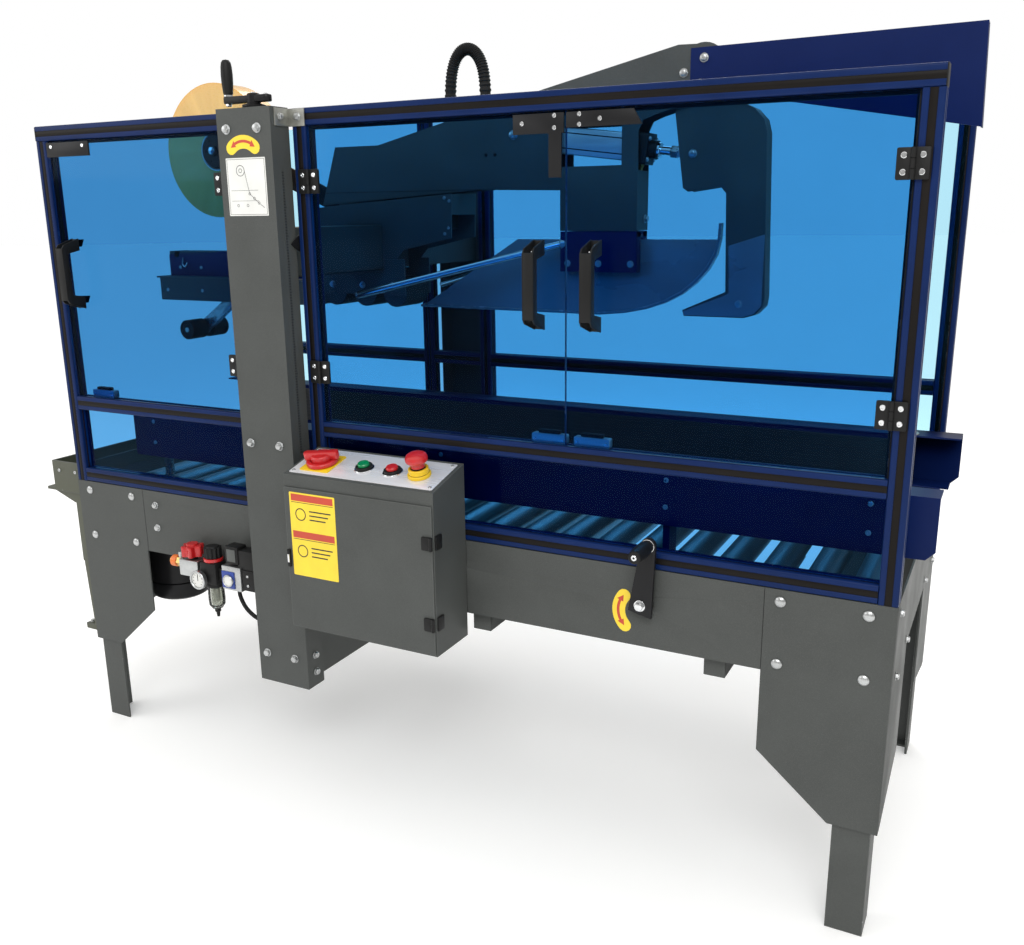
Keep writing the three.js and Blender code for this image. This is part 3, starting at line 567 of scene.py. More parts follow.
def build_bed():
    finished("bed_frame", GREY_PAINT, GREY_EDGE_HIGHLIGHT_AND_WEAR, 1.0)
    fasteners = Piece("bed_fasteners", "bed_frame", ZINC, BLACK_PLASTIC)
    for x in (BED.x0 + 36, BED.x0 + 165, BED.x1 - 172, BED.x1 - 40):
        for z in (TOP_GUSSET_ROW, LOW_GUSSET_ROW):
            fasteners.lathe(CARRIAGE_HEAD, (x, BED.y0, z), "-y", 0, 28)
            fasteners.lathe(CARRIAGE_HEAD, (x, BED.y1, z), "y", 0, 28)
    for z in (BED.z1 - 31, BED.z1 - 82):
        fasteners.bolt((BED.x0 + 236, BED.y0, z), "-y", 12)
    for x, axis in ((BED.x0, "-x"), (BED.x1, "x")):
        for inward, z in ((45, 556), (54, 447), (196, 452)):
            for y in (BED.y0 + inward, BED.y1 - inward):
                fasteners.bolt((x, y, z), axis, 10)
    for x in (BED.x0 + 200, BED.x1 - 197):
        for y in (BED.y0 - 0.2, BED.y1 - 0.4):
            fasteners.box(around(x, 0.5), (y, y + 0.6), (441, BED.z1), 1, 0)
    fasteners.done()


def build_legs():
    for side in ("front", "rear"):
        for end in ("left", "right"):
            node = f"leg_{side}_{end}"
            leg = Extent(node)
            piece = finishing(node, GREY_PAINT, GREY_EDGE_HIGHLIGHT_AND_WEAR, ZINC)
            piece.node(node, 0, 1, 1.2)
            face, axis = (leg.y0 + 5, "y") if side == "front" else (leg.y1 - 5, "-y")
            for z in (leg.z1 - 30, leg.z1 - 150, leg.z1 - 225):
                piece.bolt((leg.x, face, z), axis, 11, 2)
            piece.done(node)


def add_roller(piece, x, y0, y1, z, radius, shaft, look=0, cap=1):
    """A tube with pressed end bearings bored for a shaft of the given radius, turned about Y."""
    length = y1 - y0
    inner = radius - 2
    tube = [(inner, 4), (inner, 0.5), (radius - 1, 0), (radius, 1.2), (radius, length - 1.2),
            (radius - 1, length), (inner, length - 0.5), (inner, length - 4)]
    piece.lathe(tube, (x, y0, z), "y", look, 28)
    for start, axis in ((y0 + 2.5, "y"), (y1 - 2.5, "-y")):
        piece.lathe([(shaft + 1, 0), (inner * 0.55, -0.6), (inner * 0.62, 0.8), (inner * 0.85, 0.8),
                     (inner + 0.2, 0), (inner + 0.2, 6), (shaft + 1, 6)], (x, start, z), axis, cap, 20)


SHAFT = 6
ROLLER_TUBE = (BED.y0 + 44, BED.y1 - 44)


def add_bed_roller(piece, shaft, x, radius):
    """A bed roller at x, on a hexagon shaft as long as the box of one."""
    add_roller(piece, x, *ROLLER_TUBE, shaft.z, radius, SHAFT)
    length = shaft.y1 - shaft.y0
    piece.lathe([(0, 0), (SHAFT, 0), (SHAFT, length), (0, length)], (x, shaft.y0, shaft.z), "y", 0, 6)


def build_rollers():
    """The turning infeed rollers, and past them the fixed outfeed rollers at the same pitch."""
    first = Extent("infeed_roller_1")
    radius = (first.z1 - first.z0) / 2
    pitch = Extent("infeed_roller_2").x - first.x
    tray = Extent("outfeed_roller_tray")
    count = round((first.x - (tray.x0 + 20)) / pitch)
    fixed = Piece("outfeed_rollers", "outfeed_roller_tray", ROLLER_STEEL, BLACK_PLASTIC, GALVANISED)
    for i in range(count):
        add_bed_roller(fixed, first, first.x - pitch * (i + 1), radius)
    for y in (tray.y0 + 2, tray.y1 - 6):
        fixed.box((tray.x0, tray.x1), (y, y + 4), (548, 572), 2, 0.5)
    fixed.done("outfeed_roller_tray")
    for i in range(1, 8):
        node = f"infeed_roller_{i}"
        piece = finishing(node, ROLLER_STEEL, BLACK_PLASTIC)
        add_bed_roller(piece, Extent(node), Extent(node).x, radius)
        piece.done(node)


# ---------------------------------------------------------------- guard: profiles, panes, doors

PROFILE = 30


def profile_section():
    """The four sides of the slotted profile, as points and the look of the face after each."""
    half, corner, lip, floor = PROFILE / 2, 3.6, 5.4, 1.5
    side = [(p, 0) for p in arc((-half + corner, half - corner), corner, 135, 90, 3)]
    side += [((-lip - 1.2, half), 0), ((-lip, half - 0.9), 0), ((-lip, half - floor), 1),
             ((-lip * 0.5, half - 0.75), 1), ((0, half - 0.55), 1), ((lip * 0.5, half - 0.75), 1),
             ((lip, half - floor), 0), ((lip, half - 0.9), 0), ((lip + 1.2, half), 0)]
    side += [(p, 0) for p in arc((half - corner, half - corner), corner, 90, 45, 3)[:-1]]
    section = []
    for quarter in range(4):
        c, s = round(math.cos(-quarter * math.pi / 2)), round(math.sin(-quarter * math.pi / 2))
        section += [((c * a - s * b, s * a + c * b), look) for (a, b), look in side]
    return section


SECTION = profile_section()


def add_profile(piece, axis, start, end, a, b, capped=False):
    """A slotted bar along an axis, centred at (a, b) in the two other axes, in their order."""
    turn = {"x": lambda u, v, w: (w, a + u, b + v), "y": lambda u, v, w: (a + u, w, b + v),
            "z": lambda u, v, w: (a + u, b + v, w)}[axis]
    inset = 1.6 if capped else 0
    part = bmesh.new()
    low = [part.verts.new(turn(*point, start + inset)) for point, _ in SECTION]
    high = [part.verts.new(turn(*point, end - inset)) for point, _ in SECTION]
    for i, (_, look) in enumerate(SECTION):
        j = (i + 1) % len(SECTION)
        part.faces.new((low[i], low[j], high[j], high[i])).material_index = look
    part.faces.new(low)
    part.faces.new(high)
    piece.join(part, painted=True)
    if capped:
        half = PROFILE / 2 - 0.2
        for w in (start, end - inset):
            outline = [turn(u, v, 0) for u, v in rounded(-half, half, -half, half, 3)]
            flat = {"x": (1, 2), "y": (0, 2), "z": (0, 1)}[axis]
            piece.prism([(p[flat[0]], p[flat[1]]) for p in outline], axis, w, w + inset, 2, 0.4)


def add_guard(piece, posts, rails, y, top, top_rail):
    """Posts from the rails' low edge up, rails between them, and a rail along their tops if there is one."""
    low = rails[0] - PROFILE / 2
    for x in posts:
        add_profile(piece, "z", low, top - (PROFILE + 0.2 if top_rail else 0), x + PROFILE / 2, y,
                    not top_rail)
    if top_rail:
        add_profile(piece, "x", posts[0], posts[-1] + PROFILE, y, top - PROFILE / 2, capped=True)
    for left, right in zip(posts, posts[1:]):
        for z in rails:
            add_profile(piece, "x", left + PROFILE + 0.3, right - 0.3, y, z)


def build_guard():
    left, right, rear = Extent("front_left_guard"), Extent("front_right_guard"), Extent("rear_guard")
    bottom = left.z0 + PROFILE / 2
    mid = DOOR_SILL - PROFILE / 2
    rear_mid = REAR_SILL - PROFILE / 2
    looks = (NAVY_PROFILE, SLOT_STRIP, BLACK_PLASTIC)
    guards = {
        "front_left_guard": ([left.x0, left.x1 - PROFILE], (bottom, mid), left),
        "front_right_guard": ([right.x0, right.x1 - PROFILE], (bottom, mid), right),
        "rear_guard": ([left.x0, left.x1 - PROFILE, right.x0, right.x1 - PROFILE], (bottom, rear_mid), rear),
    }
    for node, (posts, rails, box) in guards.items():
        piece = Piece(f"{node}_profiles", node, *looks)
        add_guard(piece, posts, rails, box.y, box.z1, node != "rear_guard")
        piece.done(node)


def add_pane(piece, x, y, z):
    """A sheet whose thin sides take the edge look."""
    part = bmesh.new()
    bmesh.ops.create_cube(part, size=1)
    for v in part.verts:
        v.co = [a + (b - a) * (c + 0.5) for (a, b), c in zip((x, y, z), v.co)]
    for face in part.faces:
        face.material_index = 0 if abs(face.normal.y) > 0.5 else 1
    piece.join(part, painted=True)


def build_panes():
    for node in ("front_lower_glass_left", "front_lower_glass_right", "rear_glass_left", "rear_glass_right"):
        box = Extent(node)
        piece = Piece(f"{node}_sheet", node, REAR_PANE if "rear" in node else PANE, PANE_EDGE)
        add_pane(piece, (box.x0, box.x1), (box.y0, box.y1), (box.z0, box.z1))
        piece.done(node)


HINGE_HEIGHT = 42
PIN_Y = -6  # depth of the hinge pins


def add_hinge_leaf(piece, hinge_x, inward, y, z):
    """One leaf of a block hinge: a plate with two screws, on the inward side of the hinge line."""
    edges = sorted((hinge_x + 1.2 * inward, hinge_x + 21.5 * inward))
    piece.prism(rounded(edges[0], edges[1], z, z + HINGE_HEIGHT, 2.5), "y", y - 5, y, 0, 0.7)
    for dz in (10, HINGE_HEIGHT - 10):
        piece.screw((hinge_x + 12 * inward, y - 5, z + dz), "-y", 4.2, 1.6, 1)


def add_knuckle(piece, hinge_x, y, z0, z1):
    piece.rod(3.6, z0, z1, (hinge_x, y, 0), "z", 0, 16, 0.5)


def build_doors():
    posts = Piece("door_hinge_frame_leaves", "front_right_guard", BLACK_PLASTIC, CHROME)
    doors = (("left_door", -1), ("middle_door", 1), ("right_door", -1))
    for node, inward in doors:
        box = Extent(node)
        pane = (box.x0, box.x1 - 2) if inward < 0 else (box.x0 + 2, box.x1)
        hinge_x = pane[1] + 1 if inward < 0 else pane[0] - 1
        piece = Piece(f"{node}_sheet", node, LEFT_PANE if node == "left_door" else PANE, PANE_EDGE)
        add_pane(piece, (pane[0] - 1.5, pane[1] + 1.5), (box.y1 - 5, box.y1), (box.z0 - 2.5, box.z1 + 2.5))
        piece.done(node)
        fittings = Piece(f"{node}_hinge_leaves", node, BLACK_PLASTIC, CHROME)
        for z in (box.z0 + 70, box.z1 - 112):
            add_hinge_leaf(fittings, hinge_x, inward, 0.6, z)
            add_hinge_leaf(posts, hinge_x, -inward, -0.4, z)
            third = HINGE_HEIGHT / 3
            add_knuckle(fittings, hinge_x, PIN_Y, z + third + 0.3, z + 2 * third - 0.3)
            add_knuckle(posts, hinge_x, PIN_Y, z, z + third)
            add_knuckle(posts, hinge_x, PIN_Y, z + 2 * third, z + HINGE_HEIGHT)
        fittings.done()
    posts.done()
    stops = Piece("door_stop_strips", "front_right_guard", RUBBER)
    top = Extent("left_door").z1 + 4
    for x0, x1 in ((30, 508), (702, 1715)):
        stops.box((x0, x1), (7, 14), (top - 7, top), 0, 0.8)
        for x in (x0, x1 - 6):
            stops.box((x, x + 6), (7, 14), (DOOR_SILL, top - 7.2), 0, 0.8)
    stops.done()


def build_handles():
    """Bridge handles: a channel with slanted open ends that show the fixing screws."""
    for node in ("left_door_handle", "middle_door_handle", "right_door_handle"):
        box = Extent(node)
        piece = finishing(node, BLACK_PLASTIC, CHROME)
        foot, reach = box.y1, box.y0
        cheek = [(reach, box.z - 52), (reach, box.z + 52), (reach + 6, box.z + 60), (foot - 2, box.z1),
                 (foot, box.z1), (foot, box.z1 - 24), (reach + 16, box.z1 - 30), (reach + 15, box.z1 - 34),
                 (reach + 15, box.z0 + 34), (reach + 16, box.z0 + 30), (foot, box.z0 + 24), (foot, box.z0),
                 (foot - 2, box.z0), (reach + 6, box.z - 60)]
        for x in (box.x0, box.x1 - 3):
            piece.prism(cheek, "x", x, x + 3, 0, 0.8)
        piece.box((box.x0 + 1, box.x1 - 1), (reach, reach + 4), around(box.z, 53), 0, 1.0)
        piece.box((box.x0 + 1, box.x1 - 1), (reach + 4, reach + 14), around(box.z, 40), 0, 0.8)
        piece.box((box.x0 + 2, box.x1 - 2), (reach + 7, foot - 9), (box.z + 49, box.z + 52), 0, 0.6)
        piece.screw((box.x, reach + 21, box.z + 52), "z", 5.4, 3, 1)
        for z in (box.z1 - 12, box.z0 + 12):
            piece.box((box.x0 + 1, box.x1 - 1), (foot - 4, foot), around(z, 11), 0, 0.6)
            piece.screw((box.x, foot - 4, z), "-y", 5.0, 4.5, 1)
        piece.done(node)


def build_switches():
    """Interlock switches behind the doors' low edges, and the stay brackets along their top edges."""
    left, middle, right = Extent("left_door"), Extent("middle_door"), Extent("right_door")
    rail = DOOR_SILL - PROFILE / 2
    switches = Piece("door_interlocks", "front_right_guard", BRUSHED, BLACK_PLASTIC, CHROME)
    for x in (middle.x1 - 32, right.x0 + 42, left.x0 + 70):
        switches.prism(rounded(x - 32, x + 32, rail + 16, rail + 32, 3), "y", 9, 24, 0, 1.2)
        switches.prism(rounded(x - 20, x + 20, rail + 32, rail + 38, 2), "y", 11, 21, 1, 1.0)
        for dx in (-26, 26):
            switches.screw((x + dx, 9, rail + 23), "-y", 3, 1.6, 2)
    switches.done()
    top = middle.z1
    brackets = (
        ("left_door", [(33, top - 28), (156, top - 28), (156, top), (33, top)],
         ((48, top - 8), (140, top - 8))),
        ("middle_door",
         [(1114, top - 30), (1176, top - 30), (1176, top - 96), (1198, top - 96), (1198, top - 30),
          (1202, top - 30), (1202, top), (1114, top)],
         ((1186, top - 4), (1186, top - 22), (1130, top - 14))),
        ("right_door", [(1206, top - 23), (1330, top - 23), (1316, top), (1206, top)],
         ((1228, top - 4), (1228, top - 19), (1262, top - 12))),
    )
    for node, outline, screws in brackets:
        piece = Piece(f"{node}_stay_bracket", node, BLACK_METAL, CHROME)
        piece.prism(outline, "y", -2.6, 0.8, 0, 0.6)
        for x, z in screws:
            piece.screw((x, -2.6, z), "-y", 3.6, 1.8, 1)
        piece.done()
    clips = Piece("left_post_clips", "front_left_guard", BLACK_PLASTIC)
    for z in (1098, 981):
        clips.prism([(30, z - 8), (78, z - 5), (86, z + 10), (30, z + 8)], "y", 9, 21, 0, 1.0)
    clips.done()


# ---------------------------------------------------------------- columns

COLUMN = Extent("front_column")


def banana(centre, middle, half, sweep, tilt):
    """The outline of a curved band with round ends. tilt turns its crown from straight up, in degrees."""
    top = 90 + tilt
    ends = [(centre[0] + middle * math.cos(math.radians(top + s * sweep)),
             centre[1] + middle * math.sin(math.radians(top + s * sweep))) for s in (-1, 1)]
    outline = arc(centre, middle + half, top - sweep, top + sweep, 14)
    outline += arc(ends[1], half, top + sweep, top + sweep + 180, 6)[1:-1]
    outline += arc(centre, middle - half, top + sweep, top - sweep, 10)
    return outline + arc(ends[0], half, top - sweep + 180, top - sweep + 360, 6)[1:-1]


def arrow(centre, middle, half, sweep, tilt, head):
    """The outline of a curved arrow with a head at each end."""
    top = 90 + tilt

    def at(radius, angle):
        turn = math.radians(angle)
        return (centre[0] + radius * math.cos(turn), centre[1] + radius * math.sin(turn))

    right = [at(middle - head, top - sweep), at(middle, top - sweep - 16), at(middle + head, top - sweep)]
    left = [at(middle + head, top + sweep), at(middle, top + sweep + 16), at(middle - head, top + sweep)]
    return (right + arc(centre, middle + half, top - sweep, top + sweep, 10) + left
            + arc(centre, middle - half, top + sweep, top - sweep, 10))


def add_turn_sticker(piece, centre, y, tilt, size=1.0):
    piece.prism(banana(centre, 40 * size, 11.5 * size, 42, tilt), "y", y - STICKER, y, 0, 0)
    piece.prism(arrow(centre, 41 * size, 2.4 * size, 26, tilt, 6 * size), "y", y - PRINT, y - STICKER, 1, 0)


def add_diagram(piece, x0, x1, z0, z1, y):
    """A plain threading diagram: a roll, guide rollers and the tape between them, with no lettering."""
    piece.prism(rounded(x0, x1, z0, z1, 1.5), "y", y - STICKER, y, 2, 0)
    ink = (y - 0.55, y - STICKER)
    left, right, low, high = x0 + 2.5, x1 - 2.5, z0 + 2.5, z1 - 2.5
    for z in (low, high):
        piece.box((left - 0.3, right + 0.3), ink, around(z, 0.3), 3, 0)
    for x in (left, right):
        piece.box(around(x, 0.3), ink, (low - 0.3, high + 0.3), 3, 0)
    roll = (x0 + 32, z1 - 22)
    for inner, outer, sides in ((8.6, 9.6, 28), (3.0, 3.8, 20)):
        piece.ring(inner, outer, STICKER, PRINT, (roll[0], y, roll[1]), "-y", 3, sides, 0.05)
    stops = [(x0 + 50, z0 + 38), (x0 + 60, z0 + 30), (x0 + 70, z0 + 22), (x0 + 22, z0 + 18),
             (x0 + 44, z0 + 18)]
    for x, z in stops:
        piece.ring(1.9, 2.6, STICKER, PRINT, (x, y, z), "-y", 3, 14, 0.05)
    route = [Vector(spot) for spot in ((roll[0] + 9, roll[1]), *stops[:3], (x1 - 8, z0 + 14))]
    for a, b in zip(route, route[1:]):
        across = Vector((b.y - a.y, a.x - b.x)).normalized() * 0.35
        piece.prism([a + across, b + across, b - across, a - across], "y", y - 0.58, y - STICKER, 3, 0)
    for z in (z0 + 44, z0 + 26):
        piece.box((x0 + 8, x1 - 20), ink, around(z, 0.25), 3, 0)


def build_columns():
    for node, bevel in (("front_column", 1.6), ("rear_column", 1.6), ("column_crossbeam", 1.2)):
        finished(node, GREY_PAINT, GREY_EDGE_HIGHLIGHT_AND_WEAR, bevel)
    fasteners = Piece("column_fasteners", "front_column", ZINC, GALVANISED, BLACK_METAL)
    for z in (COLUMN.z1 - 35, 729.5, COLUMN.z0 + 62):
        for x in (COLUMN.x0 + 22, COLUMN.x1 - 30):
            fasteners.bolt((x, COLUMN.y0, z), "-y", 13)
            fasteners.bolt((x, BED.y1 + BED.y0 - COLUMN.y0, z), "y", 13)
    bracket_z, bolt_z = (COLUMN.z1 - 32, COLUMN.z1 - 2), COLUMN.z1 - 16
    fasteners.box((COLUMN.x1, COLUMN.x1 + 2.5), (COLUMN.y0 + 10, -0.5), bracket_z, 1, 0.6)
    fasteners.box((COLUMN.x1, COLUMN.x1 + 37), (-3, -0.4), bracket_z, 1, 0.6)
    fasteners.bolt((COLUMN.x1 + 2.5, COLUMN.y0 + 24, bolt_z), "x", 10)
    fasteners.bolt((COLUMN.x1 + 22, -3, bolt_z), "-y", 11)
    fasteners.box((COLUMN.x0 - 30, COLUMN.x0 - 0.3), (-3, -0.4), bracket_z, 1, 0.6)
    fasteners.bolt((COLUMN.x0 - 16, -3, bolt_z), "-y", 11)
    for z in (COLUMN.z0 + 30, COLUMN.z0 + 66):
        fasteners.bolt((COLUMN.x1, -24, z), "x", 12)
    fasteners.lathe([(13.5, 0), (20, 0), (21, 2), (21, 5), (18, 6.5), (13.5, 6.5)], (*LIFT_SCREW, COLUMN.z1),
                    "z", 2, 28)
    fasteners.done()
    labels = Piece("column_labels", "front_column", LABEL_YELLOW, LABEL_RED, WHITE_PLASTIC, LABEL_BLACK)
    face, middle = COLUMN.y0, COLUMN.x - 4
    add_turn_sticker(labels, (middle, COLUMN.z1 - 97), face, 0)
    add_diagram(labels, middle - 42, middle + 48, COLUMN.z1 - 184, COLUMN.z1 - 84, face)
    ruler = (COLUMN.z1 - 620, COLUMN.z1 - 108)
    steps = int((ruler[1] - ruler[0]) / 5)
    for i in range(steps + 1):
        reach = 7 if i % 10 == 0 else 5
        labels.box((COLUMN.x1, COLUMN.x1 + 0.3), (-28, -28 + reach), around(ruler[0] + 5 * i, 1.1), 3, 0)
    labels.done()
    pointer = Piece("height_pointer", "head_carrier", BLACK_METAL)
    pointer.prism([(-18, 1101), (2, 1116), (14, 1116), (14, 1088), (2, 1088)], "x", 667.6, 669.8, 0, 0.4)
    pointer.box((647, 669.8), (8, 14), (1096, 1108), 0, 0.6)
    pointer.done()


# ---------------------------------------------------------------- guides, belts and motors


def mirrored():
    """Turns a front piece to the rear one, about the machine's middle."""
    return Matrix.Translation((0, 2 * MID, 0)) @ Matrix.Scale(-1, 4, (0, 1, 0))


def build_guides():
    for side in ("front", "rear"):
        node, belt_node, motor_node = f"{side}_guide", f"{side}_belt", f"{side}_belt_motor"
        place = None if side == "front" else mirrored()
        front_guide, belt, motor = Extent("front_guide"), Extent("front_belt"), Extent("front_belt_motor")
        shell = finishing(node, BLUE_PAINT, BLUE_EDGE_HIGHLIGHT_AND_WEAR, ZINC, BLACK_PLASTIC)
        shell.node(node, 0, 1, 1.0)
        outer = front_guide.y0
        for x in (belt.x0 + 20, 449, 900, 1349, belt.x1 - 20):
            for z in (front_guide.z1 - 20, front_guide.z1 - 68):
                shell.screw((x, outer, z), "-y", 4.6, 2.4, 2, place)
        for x in (belt.x0 + 22, belt.x1 - 22):
            shell.bolt((x, outer + 41, front_guide.z1), "z", 14, 2, True, place)
            shell.rod(26, 0, 2, (x, outer + 41, front_guide.z1), "z", 2, 32, 0.5, place)
        shell.box((belt.x0 + 60, belt.x1 - 60), (outer + 30, outer + 52), (belt.z0 + 4, belt.z1 - 4), 3, 1.0,
                  place)
        shell.done(node)
        add_belt(belt_node, belt, place)
        add_motor(motor_node, motor, place)


def add_belt(node, belt, place):
    """A ribbed flat belt round two pulleys."""
    piece = finishing(node, BELT_RUBBER)
    y, outer, inner = belt.y, (belt.y1 - belt.y0) / 2, (belt.y1 - belt.y0) / 2 - 3.5
    ends = (belt.x0 + outer, belt.x1 - outer)
    ribs = 9
    height = belt.z1 - belt.z0
    rows = []
    for r in range(ribs):
        z = belt.z0 + height * r / ribs
        rows += [(z + 0.4, outer - 0.9), (z + 1.4, outer), (z + height / ribs - 1.4, outer),
                 (z + height / ribs - 0.4, outer - 0.9)]
    rows += [(belt.z1, inner), (belt.z0, inner)]
    turns = 14
    part = bmesh.new()
    loops = []
    for z, radius in rows:
        path = arc((ends[0], y), radius, 90, 270, turns) + arc((ends[1], y), radius, -90, 90, turns)
        loops.append([part.verts.new((a, b, z)) for a, b in path])
    count = len(loops[0])
    for i in range(len(loops)):
        low, high = loops[i], loops[(i + 1) % len(loops)]
        for k in range(count):
            part.faces.new((low[k], low[(k + 1) % count], high[(k + 1) % count], high[k]))
    piece.join(part, 0, place)
    piece.done(node)


def add_motor(node, motor, place):
    """A smooth motor body below a gearbox, with a fan cowl at its foot."""
    piece = finishing(node, BLACK_METAL, ZINC)
    x, y = motor.x, motor.y
    radius = (motor.x1 - motor.x0) / 2
    body = [(0, motor.z0), (radius - 14, motor.z0), (radius - 6, motor.z0 + 5), (radius - 2, motor.z0 + 14),
            (radius - 2, motor.z0 + 40), (radius - 8, motor.z0 + 42)]
    top = motor.z0 + 126
    body += [(radius, motor.z0 + 44), (radius, top), (radius - 4, top + 2), (radius - 4, top + 10),
             (radius - 10, top + 12), (0, top + 12)]
    piece.lathe(body, (x, y, 0), "z", 0, 40, place)
    gear = (motor.z0 + 137, motor.z0 + 208)
    piece.box(around(x, 42), around(y, 40), gear, 0, 4.0, place)
    piece.box(around(x, 46), around(y, 44), (gear[0] + 2, gear[0] + 10), 0, 1.5, place)
    piece.rod(24, gear[1] - 2, gear[1] + 9, (x, y, 0), "z", 0, 32, 1.5, place)
    piece.rod(10, gear[1], motor.z1, (x, y, 0), "z", 1, 20, 0.8, place)
    for dx in (-34, 34):
        for dy in (-32, 32):
            piece.bolt((x + dx, y + dy, gear[1]), "z", 8, 1, False, place)
    piece.done(node)


# ---------------------------------------------------------------- cranks

GRIP = [(0, 0), (9, 0), (10.5, 3), (11.2, 12), (12.4, 30), (12.8, 52), (12.0, 72), (10.4, 84), (7, 90),
        (0, 92)]


def build_width_crank():
    crank = Extent("width_crank")
    axis_x, axis_z = WIDTH_SCREW
    piece = finishing("width_crank", BLACK_METAL, CHROME, BLACK_PLASTIC, ZINC)
    tip = (axis_x + 12, crank.z1 - 13)
    arm = [(axis_x - 21, axis_z - 11), (axis_x + 20, axis_z - 21)] + arc(tip, 13, -10, 190, 10)
    piece.prism(arm, "y", -20, -12, 0, 1.2)
    piece.lathe([(0, -11.8), (20, -11.8), (20, -6), (17, -5.2), (0, -5.2)], (axis_x, 0, axis_z), "y", 0, 32)
    piece.bolt((axis_x, -20, axis_z), "-y", 15, 1)
    piece.lathe([(0, 0), (8, 0), (8, crank.y1 + 5), (0, crank.y1 + 5)], (axis_x, -5, axis_z), "y", 3, 20)
    length = -20 - crank.y0
    scale = (length - 1) / 92
    grip = [(r, 92 * scale - h * scale) for r, h in GRIP][::-1]
    piece.lathe(grip, (tip[0], -20, tip[1]), "-y", 2, 28)
    piece.ring(6, 11.5, 0, 3, (tip[0], -20, tip[1]), "-y", 1, 28, 0.6)
    piece.screw((tip[0], crank.y0 + 1.5, tip[1]), "-y", 4.6, 1.4, 1)
    piece.bolt((tip[0], -12, tip[1]), "y", 11, 1, False)
    piece.done("width_crank")
    sticker = Piece("width_crank_sticker", "bed_frame", LABEL_YELLOW, LABEL_RED)
    add_turn_sticker(sticker, (1345, axis_z - 20), BED.y0, 92)
    sticker.done()


def build_lift_crank():
    crank = Extent("lift_crank")
    x, y = LIFT_SCREW
    piece = finishing("lift_crank", BLACK_METAL, CHROME, BLACK_PLASTIC, ZINC)
    grip_x = crank.x0 + 9.5
    arm_z = 1346
    piece.prism(arc((grip_x, y), 9, 90, 270, 8) + arc((x + 29, y), 9, -90, 90, 8), "z", arm_z, arm_z + 12, 0,
                2.0)
    piece.lathe([(0, 0), (11.5, 0), (12, 1.5), (12, 20), (10, 22.5), (0, 22.5)], (x, y, 1338.5), "z", 0, 28)
    piece.screw((x, y, 1361), "z", 5, 2.4, 1)
    piece.screw((x + 28, y, arm_z + 12), "z", 4.4, 2.4, 1)
    piece.ring(5, 8, 0, 3.5, (grip_x, y, arm_z + 12), "z", 1, 24, 0.5)
    piece.bolt((grip_x, y, arm_z), "-z", 10, 1, False)
    height = crank.z1 - arm_z - 15.5
    scale = height / 92
    grip = [(r * 0.82, h * scale) for r, h in GRIP]
    piece.lathe(grip, (grip_x, y, arm_z + 15.5), "z", 2, 24)
    thread = [(0, crank.z0)]
    turns = int((1335 - crank.z0) / 10)
    for i in range(turns):
        z = crank.z0 + 10 * i
        thread += [(6.6, z + 1), (8, z + 3), (8, z + 7), (6.6, z + 9)]
    piece.lathe(thread + [(7, 1340), (0, 1340)], (x, y, 0), "z", 3, 14)
    piece.done("lift_crank")


# ---------------------------------------------------------------- control box


